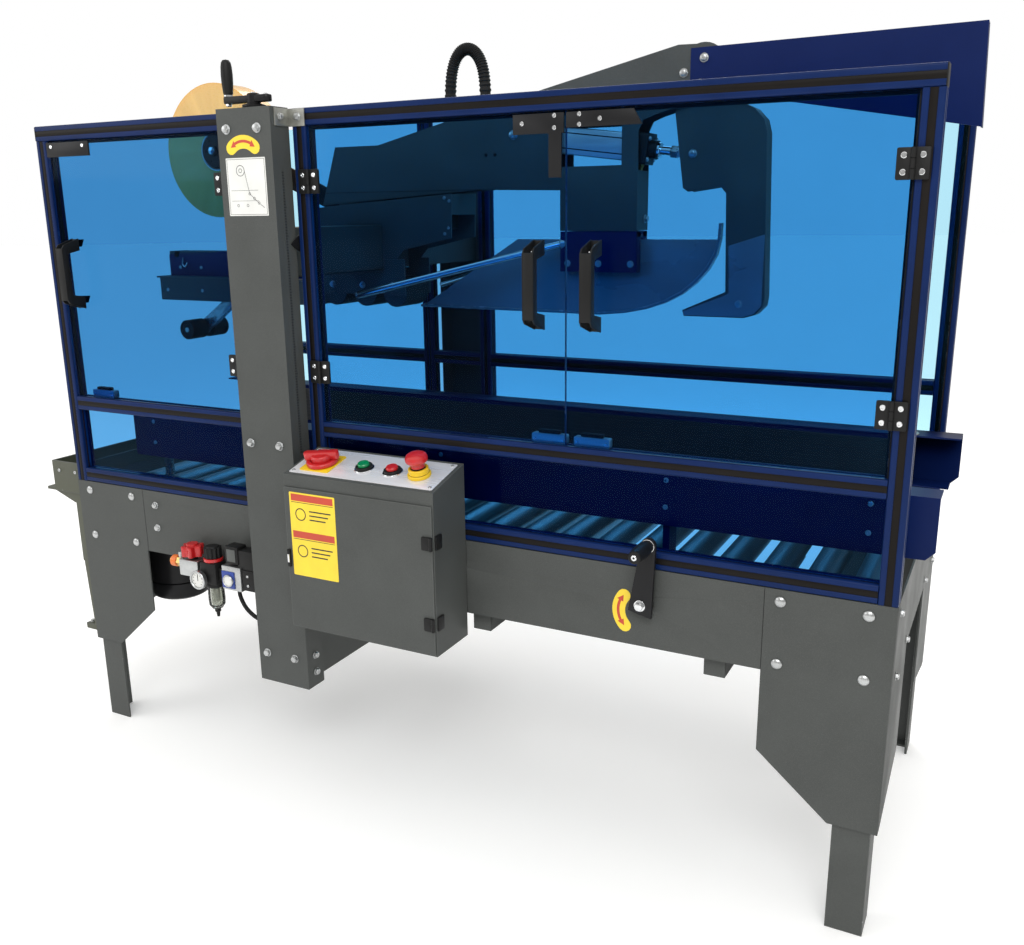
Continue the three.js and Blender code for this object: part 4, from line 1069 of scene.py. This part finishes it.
def build_control_box():
    box = Extent("control_box")
    door = Extent("control_box_door")
    front, back = box.y0, box.y1
    front_top, rear_top = 696, 724  # heights of the sloping top along its two long edges
    slope = math.atan2(rear_top - front_top, back - front)
    finished("control_box", GREY_PAINT, GREY_EDGE_HIGHLIGHT_AND_WEAR, 1.2)
    finished("control_box_door", GREY_PAINT, GREY_EDGE_HIGHLIGHT_AND_WEAR, 1.0)

    def console(x, y=-62):
        return (Matrix.Translation((x, y, front_top + (y - front) * math.tan(slope)))
                @ Matrix.Rotation(slope, 4, "X"))

    middle = console(box.x, (front + back) / 2)
    half_x, half_y = (box.x1 - box.x0) / 2 - 7, 47
    plate = Piece("console_plate", "control_box", CONSOLE_PLATE, ZINC, BLACK_PLASTIC, YELLOW_PLASTIC, CHROME)
    controls = ("main_switch", "start_button", "stop_button", "emergency_stop")
    switch, start, stop, emergency = [Extent(node).x for node in controls]
    plate.prism(rounded(-half_x, half_x, -half_y, half_y, 3), "z", 0.1, 1.6, 0, 0.3, middle)
    for dx in (-half_x + 7, half_x - 7):
        for dy in (-half_y + 7, half_y - 7):
            plate.screw((dx, dy, 1.6), "z", 3.2, 1.6, 1, middle)
    plate.prism(rounded(-32, 32, -32, 32, 4), "z", 1.6, 3.4, 3, 0.5, console(switch))
    for x in (start, stop):
        plate.ring(12.3, 16, 1.5, 8.6, (0, 0, 0), "z", 2, 28, 0.8, console(x))
        plate.ring(14.5, 18.5, 1.5, 4, (0, 0, 0), "z", 4, 28, 0.6, console(x))
    plate.ring(14, 21, 1.5, 8, (0, 0, 0), "z", 3, 32, 1.0, console(emergency))
    plate.ring(13.4, 18.2, 8, 18, (0, 0, 0), "z", 3, 32, 1.0, console(emergency))
    plate.done()

    dial = finishing("main_switch", RED_PLASTIC)
    dial.ring(20.5, 30, 3.6, 12, (0, 0, 0), "z", 0, 40, 2.0, console(switch))
    dial.rod(20, 3.6, 22, (0, 0, 0), "z", 0, 36, 2.0, console(switch))
    wing = arc((-24, 0), 9, 110, 250, 6) + [(0, -6.5)] + arc((26, 0), 8, -70, 70, 6) + [(0, 6.5)]
    dial.prism(wing, "z", 12, 27, 0, 2.0, console(switch) @ Matrix.Rotation(math.radians(18), 4, "Z"))
    dial.done("main_switch")
    for node, look in (("start_button", GREEN_PLASTIC), ("stop_button", RED_PLASTIC)):
        button = finishing(node, look)
        button.lathe([(0, 8.6), (11, 8.6), (11, 12.5), (10, 14), (8, 14.3), (0, 13.6)], (0, 0, 0), "z", 0,
                     28, console(Extent(node).x))
        button.done(node)
    mushroom = finishing("emergency_stop", RED_PLASTIC)
    mushroom.lathe([(0, 20), (12.5, 20), (12.5, 28), (18.5, 30.5), (20, 33), (20, 38), (18, 42), (14, 44.6),
                    (7, 45.8), (0, 46)], (0, 0, 0), "z", 0, 40, console(emergency))
    mushroom.done("emergency_stop")

    fittings = Piece("control_door_fittings", "control_box_door", BLACK_PLASTIC, CHROME, LABEL_YELLOW,
                     LABEL_RED, LABEL_BLACK)
    face = door.y0
    for z in (door.z0 + 58, door.z1 - 66):
        fittings.prism(rounded(door.x1 - 20, door.x1 - 0.5, z - 12, z + 12, 2), "y", face - 4, face - 0.1, 0,
                       0.8)
        fittings.rod(3.4, z - 12, z + 12, (door.x1 - 1.5, face - 3.2, 0), "z", 0, 14, 0.5)
    fittings.box((door.x0 + 1, door.x0 + 8), (face - 4.5, face - 0.1), around(door.z, 17), 0, 1.2)
    fittings.box((door.x0 + 2.5, door.x0 + 6.5), (face - 5.5, face - 4), around(door.z, 8), 1, 0.4)
    left, right, low, high = door.x0 + 12, door.x0 + 114, door.z1 - 168, door.z1 - 8
    fittings.prism(rounded(left, right, low, high, 2), "y", face - STICKER, face, 2, 0)
    ink = (face - PRINT, face - STICKER)
    for share in (1.0, 0.56):
        top = low + (high - low) * share - 3
        fittings.box((left + 4, right - 4), ink, (top - 13, top), 3, 0)
        fittings.box((left + 4, right - 4), ink, (top - 16, top - 15), 4, 0)
        for line in range(3):
            fittings.box((left + 44, right - 10 - 6 * line), ink, around(top - 30 - 8 * line, 1.2), 4, 0)
        fittings.ring(10, 12, STICKER, PRINT, (left + 24, face, top - 38), "-y", 4, 28, 0.05)
    fittings.done()
    hinges = Piece("control_box_fittings", "control_box", BLACK_PLASTIC)
    for z in (door.z0 + 58, door.z1 - 66):
        hinges.prism(rounded(front + 2, front + 22, z - 13, z + 13, 2), "x", box.x1, box.x1 + 3, 0, 0.8)
    for x in (box.x0 + 70, box.x0 + 130, box.x0 + 190):
        hinges.lathe([(0, 0), (11, 0), (11, -5), (9, -6), (9, -16), (5, -18), (0, -18)], (x, -55, box.z0),
                     "z", 0, 18)
    hinges.done()


# ---------------------------------------------------------------- air preparation unit


def build_air_unit():
    unit = Extent("air_unit")
    y, z = -30, 437
    black, red, brass, orange, steel = 0, 1, 2, 3, 4
    grey, blue, clear, white = 5, 6, 7, 8
    piece = finishing("air_unit", BLACK_PLASTIC, RED_PLASTIC, BRASS, ORANGE_PLASTIC, ZINC,
                  GREY_EDGE_HIGHLIGHT_AND_WEAR, BLUE_MOULDING, CLEAR_BOWL, WHITE_PLASTIC, RUBBER)
    x0 = unit.x0
    inlet, star, filter_bowl = (x0, y, z + 8), (x0 + 62, y, z), (x0 + 118, y, z)
    sensor = (x0 + 176, y - 20, z - 4)
    piece.rod(8, 0, 14, inlet, "x", brass, 20, 0.8)
    piece.ring(8, 12.5, 5, 19, inlet, "x", orange, 28, 1.2)
    piece.lathe([(0, 19), (11, 19), (11, 33), (9, 35), (0, 35)], inlet, "x", brass, 6)
    piece.rod(5, 16, 30, (x0 + 26, y, z), "z", steel, 16, 0.8)
    piece.box((x0 + 34, x0 + 86), around(y, 15), (z - 16, z + 20), steel, 2.0)
    piece.rod(9, 19, 28, star, "z", black, 20, 0.6)
    piece.prism(lobed(star[:2], 20.5, 3.5, 6, 10), "z", z + 27, z + 50, red, 2.0)
    piece.lathe([(0, 0), (13, 0), (12, 4), (0, 5)], (x0 + 62, y, z + 50), "z", red, 24)
    dial = (x0 + 100, y - 14, z - 12)
    piece.ring(16, 20, 10, 20, dial, "-y", steel, 36, 1.0)
    piece.rod(16.2, 8, 17, dial, "-y", white, 36, 0.4)
    piece.box(around(dial[0], 0.6), (dial[1] - 17.5, dial[1] - 16.9), (dial[2] - 2, dial[2] + 12), black, 0)
    for i in range(9):
        turn = math.radians(225 - i * 33.75)
        mark = (dial[0] + 12 * math.cos(turn), dial[2] + 12 * math.sin(turn))
        across, up = around(mark[0], 0.7), around(mark[1], 0.7)
        piece.box(across, (dial[1] - 17.4, dial[1] - 16.9), up, black, 0)
    piece.rod(6, 0, 11, dial, "-y", brass, 16, 0.5)
    piece.box((x0 + 96, x0 + 140), around(y, 20), around(z, 24), black, 4.0)
    piece.ring(13, 20, 24, 31, filter_bowl, "z", red, 32, 1.2)
    piece.lathe([(0, -24), (19, -24), (19.5, -27), (19, -30), (17.5, -32), (0, -32)], filter_bowl, "z",
                black, 32)
    bowl = [(16.5, -32), (17.5, -60), (16.5, -72), (11, -80), (6, -82), (5, -79), (10, -77), (14.6, -70),
            (15.6, -60), (14.8, -32)]
    piece.lathe(bowl, filter_bowl, "z", clear, 32)
    piece.rod(7, -64, -33, filter_bowl, "z", white, 24, 1.0)
    piece.lathe([(0, -82), (6, -82), (6.5, -88), (4, -90), (3, -100), (0, -100)], filter_bowl, "z", black,
                18)
    piece.box((x0 + 140, x0 + 158), around(y, 12), around(z, 14), black, 1.5)
    piece.box((x0 + 156, x0 + 206), (y - 19, y + 17), around(z, 26), steel, 2.0)
    piece.box((x0 + 158, x0 + 190), (y - 21.5, y - 18.8), (z - 21, z + 15), blue, 0.6)
    piece.ring(10, 13, 0, 6, sensor, "-y", steel, 28, 0.8)
    piece.rod(10.2, 0, 4.5, sensor, "-y", white, 28, 0.3)
    piece.box((x0 + 166, x0 + 200), (y - 16, y + 12), (z + 30, z + 68), black, 2.2)
    piece.box((x0 + 172, x0 + 194), (y - 17.4, y - 16), (z + 36, z + 62), grey, 0.5)
    piece.box((x0 + 204, unit.x1), around(y, 16), around(z, 22), black, 1.6)
    piece.box((x0 + 196, unit.x1), around(y, 14), (z + 20, z + 62), black, 1.6)
    for dz in (-10, 10):
        piece.screw((x0 + 222, y - 16, z + dz), "-y", 3, 1.8, steel)
    hose = smooth_path([(x0 + 186, y - 4, z - 24), (x0 + 188, y - 4, z - 44), (x0 + 200, y - 2, z - 68),
                        (x0 + 222, y + 2, z - 86), (x0 + 236, y + 12, z - 90)], 8)
    piece.tube(hose, 4.2, 9, 12)
    piece.done("air_unit")

    knob = Extent("regulator_knob")
    cap = finishing("regulator_knob", BLACK_PLASTIC)
    cap.prism(lobed((knob.x, knob.y), 17.5, 1.3, 12, 5), "z", knob.z0 + 1, knob.z1 - 3, 0, 0.8)
    cap.lathe([(0, 0), (14, 0), (12.5, 2.4), (0, 2.8)], (knob.x, knob.y, knob.z1 - 3), "z", 0, 28)
    cap.done("regulator_knob")


# ---------------------------------------------------------------- outfeed bracket


def build_outfeed_bracket():
    box = Extent("outfeed_bracket")
    piece = finishing("outfeed_bracket", GREEN_GREY, GREY_EDGE_HIGHLIGHT_AND_WEAR, ZINC)
    piece.node("outfeed_bracket", 0, 1, 1.0)
    for y in (box.y0 + 22, box.y1 - 22):
        piece.bolt((box.x0 + 26, y, box.z1 - 34), "-x", 12, 2)
        piece.bolt((box.x0 + 70, y, box.z0 + 14), "z", 10, 2)
    for x in (box.x0 + 48, box.x0 + 100):
        piece.screw((x, box.y0, box.z1 - 22), "-y", 4, 2, 2)
    piece.done("outfeed_bracket")


# ---------------------------------------------------------------- head

GUIDE_ROLLERS = (515, 594, 671)
CYLINDER_PIVOT, ROD_EYE, KICKER_PIVOT = (950, 1297), (1305, 1251), (1330, 1390)
PRESS_PIVOT = (205, 975)


def build_head_frame():
    finished("head_carrier", GREY_PAINT, GREY_EDGE_HIGHLIGHT_AND_WEAR, 1.2)
    finished("mast_channel", GREY_PAINT, GREY_EDGE_HIGHLIGHT_AND_WEAR, 0.8)
    tape_head, channel, mast = Extent("tape_head"), Extent("head_channel"), Extent("mast_channel")
    head = finishing("tape_head", GREY_PAINT, GREY_EDGE_HIGHLIGHT_AND_WEAR, ZINC, RUBBER, BLACK_PLASTIC)
    head.node("tape_head", 0, 1, 0.7)
    for x in GUIDE_ROLLERS:
        add_roller(head, x, MID - 42, MID + 42, tape_head.z0 + 6 + 24, 30.6, 6, 3, 4)
    for y, axis in ((tape_head.y0 + 1, "-y"), (tape_head.y1 - 1, "y")):
        for x, z in ((803, 1182), (814, 1176), (802, 1112), (811, 1124)):
            head.screw((x, y, z), axis, 3.4, 1.6, 2)
        for x in GUIDE_ROLLERS:
            head.bolt((x, y, 1006), axis, 11, 2)
    head.box((700, 790), around(MID, 30), (1120, 1150), 4, 3)
    head.done("tape_head")

    cover = finishing("head_channel", GREY_PAINT, GREY_EDGE_HIGHLIGHT_AND_WEAR, BLUE_PAINT, ZINC, BRIGHT_STEEL_AND_EDGE_HIGHLIGHT)
    cover.node("head_channel", 0, 1, 0.8)
    y0, y1 = MID - 25, MID + 25
    base, top = channel.z0 + 54, channel.z1
    left = channel.x0 + 20
    side = [(left, base + 2), (left, top - 8), (left + 16, top - 7),
            *arc((left + 24, top - 8), 8, 180, 360, 8),
            (left + 32, top - 6), (left + 150, top - 3), (left + 156, top), (channel.x1 - 30, top),
            (channel.x1 - 30, base + 2)]
    for y in (y0 - 2.2, y1 + 0.2):
        cover.prism(side, "y", y, y + 2, 2, 0.5)
        for x in (channel.x0 + 54, channel.x0 + 120, channel.x1 - 60):
            cover.screw((x, y if y < MID else y + 2, base + 22), "-y" if y < MID else "y", 4, 2, 3)
    for x in (channel.x0 + 30, channel.x0 + 140, channel.x0 + 300):
        for y, axis in ((300, "-y"), (400, "y")):
            cover.screw((x, y, channel.z0 + 24), axis, 4.2, 2.2, 3)
    cover.tube(smooth_path([(channel.x0 + 66, y0 - 3, base + 44), (channel.x0 + 68, y0 - 8, base + 30),
                            (channel.x0 + 76, y0 - 9, base + 24), (channel.x0 + 82, y0 - 7, base + 34)], 6),
               2.2, 4, 8)
    cover.done("head_channel")

    extras = Piece("mast_fittings", "mast_channel", ZINC, BLACK_METAL, BLACK_PLASTIC)
    for y, axis in ((mast.y0, "-y"), (mast.y1, "y")):
        extras.bolt((1287, y, 1386), axis, 12)
        for x, z in ((889, 1262), (909, 1262)):
            extras.screw((x, y, z), axis, 3.4, 1.2, 1)
        extras.ring(9.5, 16, 0, 3, (KICKER_PIVOT[0], y, KICKER_PIVOT[1]), axis, 0, 28, 0.6)
        extras.bolt((CYLINDER_PIVOT[0], y, CYLINDER_PIVOT[1]), axis, 14)
        seam = y - 0.3 if axis == "-y" else y - 0.2
        extras.box((486, 876), (seam, seam + 0.5), (1196.5, 1197.5), 2, 0)
    extras.rod(5, 0, 60, (CYLINDER_PIVOT[0], MID - 30, CYLINDER_PIVOT[1]), "y", 0, 16, 0.5)
    extras.bolt((1205, MID + 14, 1138), "x", 12)
    extras.done()


def build_ski():
    ski = Extent("ski")
    piece = finishing("ski", SKI_STEEL_BLUE_REFLECTION, BRIGHT_STEEL_AND_EDGE_HIGHLIGHT, ZINC)
    piece.node("ski", 0, 1, 0.6)
    for y, axis in ((MID - 3, "-y"), (MID + 3, "y")):
        for x in (ski.x1 - 293, ski.x1 - 226, ski.x1 - 161):
            piece.bolt((x, y, ski.z0 + 100), axis, 9, 2)
    piece.done("ski")


def build_flap_rods():
    rods = Extent("side_flap_rods")
    piece = finishing("side_flap_rods", BLUE_PAINT, ZINC, CHROME)
    block = (rods.x1 - 156, rods.x1)
    piece.box(block, (MID - 30, MID - 5), (rods.z1 - 76, rods.z1), 0, 1.5)
    piece.box(block, (MID + 5, MID + 30), (rods.z1 - 76, rods.z1), 0, 1.5)
    piece.box(block, around(MID, 29), (rods.z1 - 12, rods.z1 - 0.2), 0, 1.5)
    for side in (-1, 1):
        far = Vector((660, MID + side * 165, 994))
        near = Vector((1063, MID + side * 18, 1095))
        along = far - near
        piece.lathe([(0, 0), (6.2, 0), (7, 1), (7, along.length - 3), (5, along.length), (0, along.length)],
                    near, along, 2, 20)
        piece.ring(7.2, 11, 0, 12, near + along.normalized() * 6, along, 1, 24, 1.0)
        for x in (block[0] + 16, block[0] + 80, block[0] + 145):
            piece.bolt((x, MID + side * 30, rods.z1 - 60), "y" if side > 0 else "-y", 10, 1)
    piece.done("side_flap_rods")


def build_infeed_panel():
    panel = Extent("infeed_panel")
    piece = finishing("infeed_panel", BLUE_PAINT, BLUE_EDGE_HIGHLIGHT_AND_WEAR, ZINC)
    piece.node("infeed_panel", 0, 1, 0.7)
    piece.bolt((1324, panel.y0, 1408), "-y", 12, 2)
    piece.bolt((1318, panel.y0, 1366), "-y", 12, 2)
    piece.done("infeed_panel")


def build_kicker():
    kicker = Extent("kicker_arm")
    piece = finishing("kicker_arm", GREY_PAINT, GREY_EDGE_HIGHLIGHT_AND_WEAR, ZINC, SKI_STEEL_BLUE_REFLECTION)
    piece.node("kicker_arm", 0, 1, 0.8)
    tip = [(1297, kicker.z0 + 1.5), (1408, kicker.z0 + 1.5), (1428, kicker.z0 + 8), (1441, kicker.z0 + 23),
           (1441, 1110), (1377, 1090), (1381, 1006), (1372, 1001), (1297, 971)]
    for y, axis in ((kicker.y0 + 7.5, "-y"), (kicker.y1 - 7.5, "y")):
        piece.prism(tip, "y", y - 1.2, y + 1.2, 3, 0.5)
        piece.bolt((ROD_EYE[0], y, ROD_EYE[1]), axis, 12, 2)
        piece.bolt((1400, y - 1.2 if axis == "-y" else y + 1.2, 987), axis, 11, 2)
    piece.done("kicker_arm")


def build_cylinder():
    pivot, eye = [Vector((x, MID, z)) for x, z in (CYLINDER_PIVOT, ROD_EYE)]
    along = eye - pivot
    length = along.length
    tilt = math.atan2(-along.z, along.x)
    place = Matrix.Translation(pivot) @ Matrix.Rotation(tilt, 4, "Y")
    origin = (0, 0, 0)
    barrel = finishing("air_cylinder", CHROME, BLACK_METAL, ZINC, RUBBER, BRASS, BRUSHED)
    barrel.prism(rounded(-22, 22, -25, 25, 3), "x", 50, 242, 5, 1.2, place)
    for start, end in ((20, 54), (238, 272)):
        barrel.prism(rounded(-24, 24, -28, 28, 4), "x", start, end, 1, 1.5, place)
    barrel.ring(8.6, 17, 271, 286, origin, "x", 1, 28, 1.0, place)
    barrel.ring(8.6, 14, 286, 291, origin, "x", 0, 28, 0.8, place)
    for y in (-22.2, 21.6):
        for z in (-14, 14):
            barrel.box((52, 240), (y, y + 0.6), around(z, 1.0), 1, 0, place)
    for y in (-20, 20):
        for z in (-20, 20):
            barrel.bolt((272, y * 0.9, z * 0.9), "x", 8, 2, False, place)
            barrel.bolt((20, y * 0.9, z * 0.9), "-x", 8, 2, False, place)
    barrel.box((-10, 24), (-14.5, 14.5), (-11, 11), 1, 2.0, place)
    barrel.rod(12, -15, 15, origin, "y", 1, 28, 1.2, place)
    for x in (38, 256):
        barrel.lathe([(0, 0), (6, 0), (6, 5), (4.5, 6), (4.5, 12), (0, 12)], (x, 0, -28), "-z", 4, 6, place)
    hose = ((38, -38), (44, -52), (90, -64), (150, -66), (214, -58), (252, -46), (256, -38))
    ends = [place @ Vector((x, 0, z)) for x, z in hose]
    barrel.tube(smooth_path(ends, 6), 4, 3, 12)
    barrel.done("air_cylinder")
    rod = finishing("cylinder_rod", CHROME, ZINC, BLACK_METAL)
    rod.rod(8, 66, length - 12, origin, "x", 0, 28, 0.6, place)
    rod.lathe([(0, length - 46), (11, length - 46), (12, length - 44), (12, length - 34), (0, length - 34)],
              origin, "x", 1, 6, place)
    rod.ring(6.2, 14, -9, 9, (length, 0, 0), "y", 1, 32, 1.2, place)
    rod.box((length - 34, length - 10), (-9, 9), (-9, 9), 1, 2.0, place)
    rod.rod(6, -12, 12, (length, 0, 0), "y", 2, 20, 0.6, place)
    rod.done("cylinder_rod")


def build_press_roller():
    box = Extent("press_roller")
    centre = (box.x0 + 23, box.z0 + 23)
    piece = finishing("press_roller", RUBBER, BRIGHT_STEEL_AND_EDGE_HIGHLIGHT, ZINC)
    for y0, y1 in ((box.y0, MID - 8.4), (MID + 8.4, box.y1)):
        piece.lathe([(6, 1.5), (21, 0), (23, 2), (23, y1 - y0 - 2), (21, y1 - y0), (6, y1 - y0 - 1.5)],
                    (centre[0], y0, centre[1]), "y", 0, 36)
    arm = arc(centre, 15, 120, 330, 10) + arc(PRESS_PIVOT, 13, -40, 140, 10)
    for y in (MID - 8, MID + 3):
        piece.prism(arm, "y", y, y + 5, 1, 0.8)
    piece.rod(6, 0, box.y1 - box.y0, (centre[0], box.y0, centre[1]), "y", 2, 20, 0.6)
    piece.rod(13, -10, 10, (PRESS_PIVOT[0], MID, PRESS_PIVOT[1]), "y", 1, 28, 1.0)
    piece.done("press_roller")


def build_roll():
    roll = Extent("tape_roll")
    radius, core = (roll.x1 - roll.x0) / 2, 40
    centre = (roll.x, 0, roll.z)
    film = tape_material("wound_tape", BED_CORNER + Vector(centre) * MM)
    piece = finishing("tape_roll", film, WHITE_PLASTIC)
    y0, y1 = roll.y0, roll.y1
    layers = [core + 4 + (radius - 2 - core - 4) * (i + 0.5) / 26 for i in range(26)]

    def side(y, inward):
        """One side of the film from its core out, with every second layer sunk a little."""
        film = [(r, y + inward * 0.35 * (i % 2)) for i, r in enumerate(layers)]
        rim = [(radius - 0.8, y), (radius, y + inward * 0.8)]
        return [(core + 3, y + inward * 0.6), (core + 4, y), *film, *rim]

    profile = side(y0, 1) + side(y1, -1)[::-1]
    piece.lathe(profile, centre, "y", 0, 96)
    piece.ring(core, core + 3, y0, y1, centre, "y", 1, 64, 0.4)
    piece.done("tape_roll")

    holder = Extent("roll_holder")
    hub = finishing("roll_holder", BLACK_PLASTIC, BLACK_METAL, CHROME)
    arm = arc((roll.x, roll.z), 24, 60, 230, 10) + [(500, 1136), (600, 1134.5), (600, 1168), (520, 1172)]
    hub.prism(arm, "y", 402, 408, 1, 1.0)
    hub.rod(12, holder.y0, holder.y1, (roll.x, 0, roll.z), "y", 1, 28, 1.0)
    for y in (y0 + 0.2, y1 - 8.2):
        hub.ring(12, core - 2, y, y + 8, (roll.x, 0, roll.z), "y", 0, 48, 1.0)
    hub.lathe([(12.5, holder.y0 + 8), (core - 6, y0 - 6), (core - 2, y0), (core - 3, y0 + 4),
               (12.5, y0 + 4)],
              (roll.x, 0, roll.z), "y", 0, 48)
    for i in range(6):
        turn = math.radians(60 * i)
        spot = (roll.x + 25 * math.cos(turn), 0, roll.z + 25 * math.sin(turn))
        hub.box(around(spot[0], 3), (y0 - 8, y0 - 1), around(spot[2], 3), 0, 1.0)
    hub.bolt((roll.x, holder.y0 + 6, roll.z), "-y", 17, 2)
    hub.done("roll_holder")


def build_conduit():
    """A corrugated hose in an arch, between two glands."""
    box = Extent("head_conduit")
    piece = finishing("head_conduit", RUBBER, BLACK_PLASTIC)
    crown, reach = box.z1 - 12.5, (box.x1 - box.x0) / 2 - 12.5
    ribs, per_rib = 46, 4
    steps = ribs * per_rib
    path = []
    for i in range(steps + 1):
        t = i / steps
        turn = math.pi * (1 - t)
        foot = box.z0 + 18 * t
        rise = (crown - foot) * math.sin(turn) ** 0.55 if 0 < i < steps else 0
        path.append(Vector((box.x + reach * math.cos(turn), MID, foot + rise)))
    piece.tube(path, lambda i: 10.4 + 2.0 * max(0.0, math.sin(FULL * i / per_rib + 0.6)), 0, 18)
    for end in (path[0], path[-1]):
        piece.lathe([(0, 0), (16, 0), (16, 5), (13, 7), (13, 12), (0, 12)], end, "z", 1, 24)
    piece.done("head_conduit")


PARTS = (
    build_bed, build_legs, build_rollers, build_guard, build_panes, build_doors, build_handles,
    build_switches, build_columns, build_guides, build_width_crank, build_lift_crank, build_control_box,
    build_air_unit, build_outfeed_bracket, build_head_frame, build_ski, build_flap_rods,
    build_infeed_panel, build_kicker, build_cylinder, build_press_roller, build_roll, build_conduit,
)
for build in PARTS:
    build()
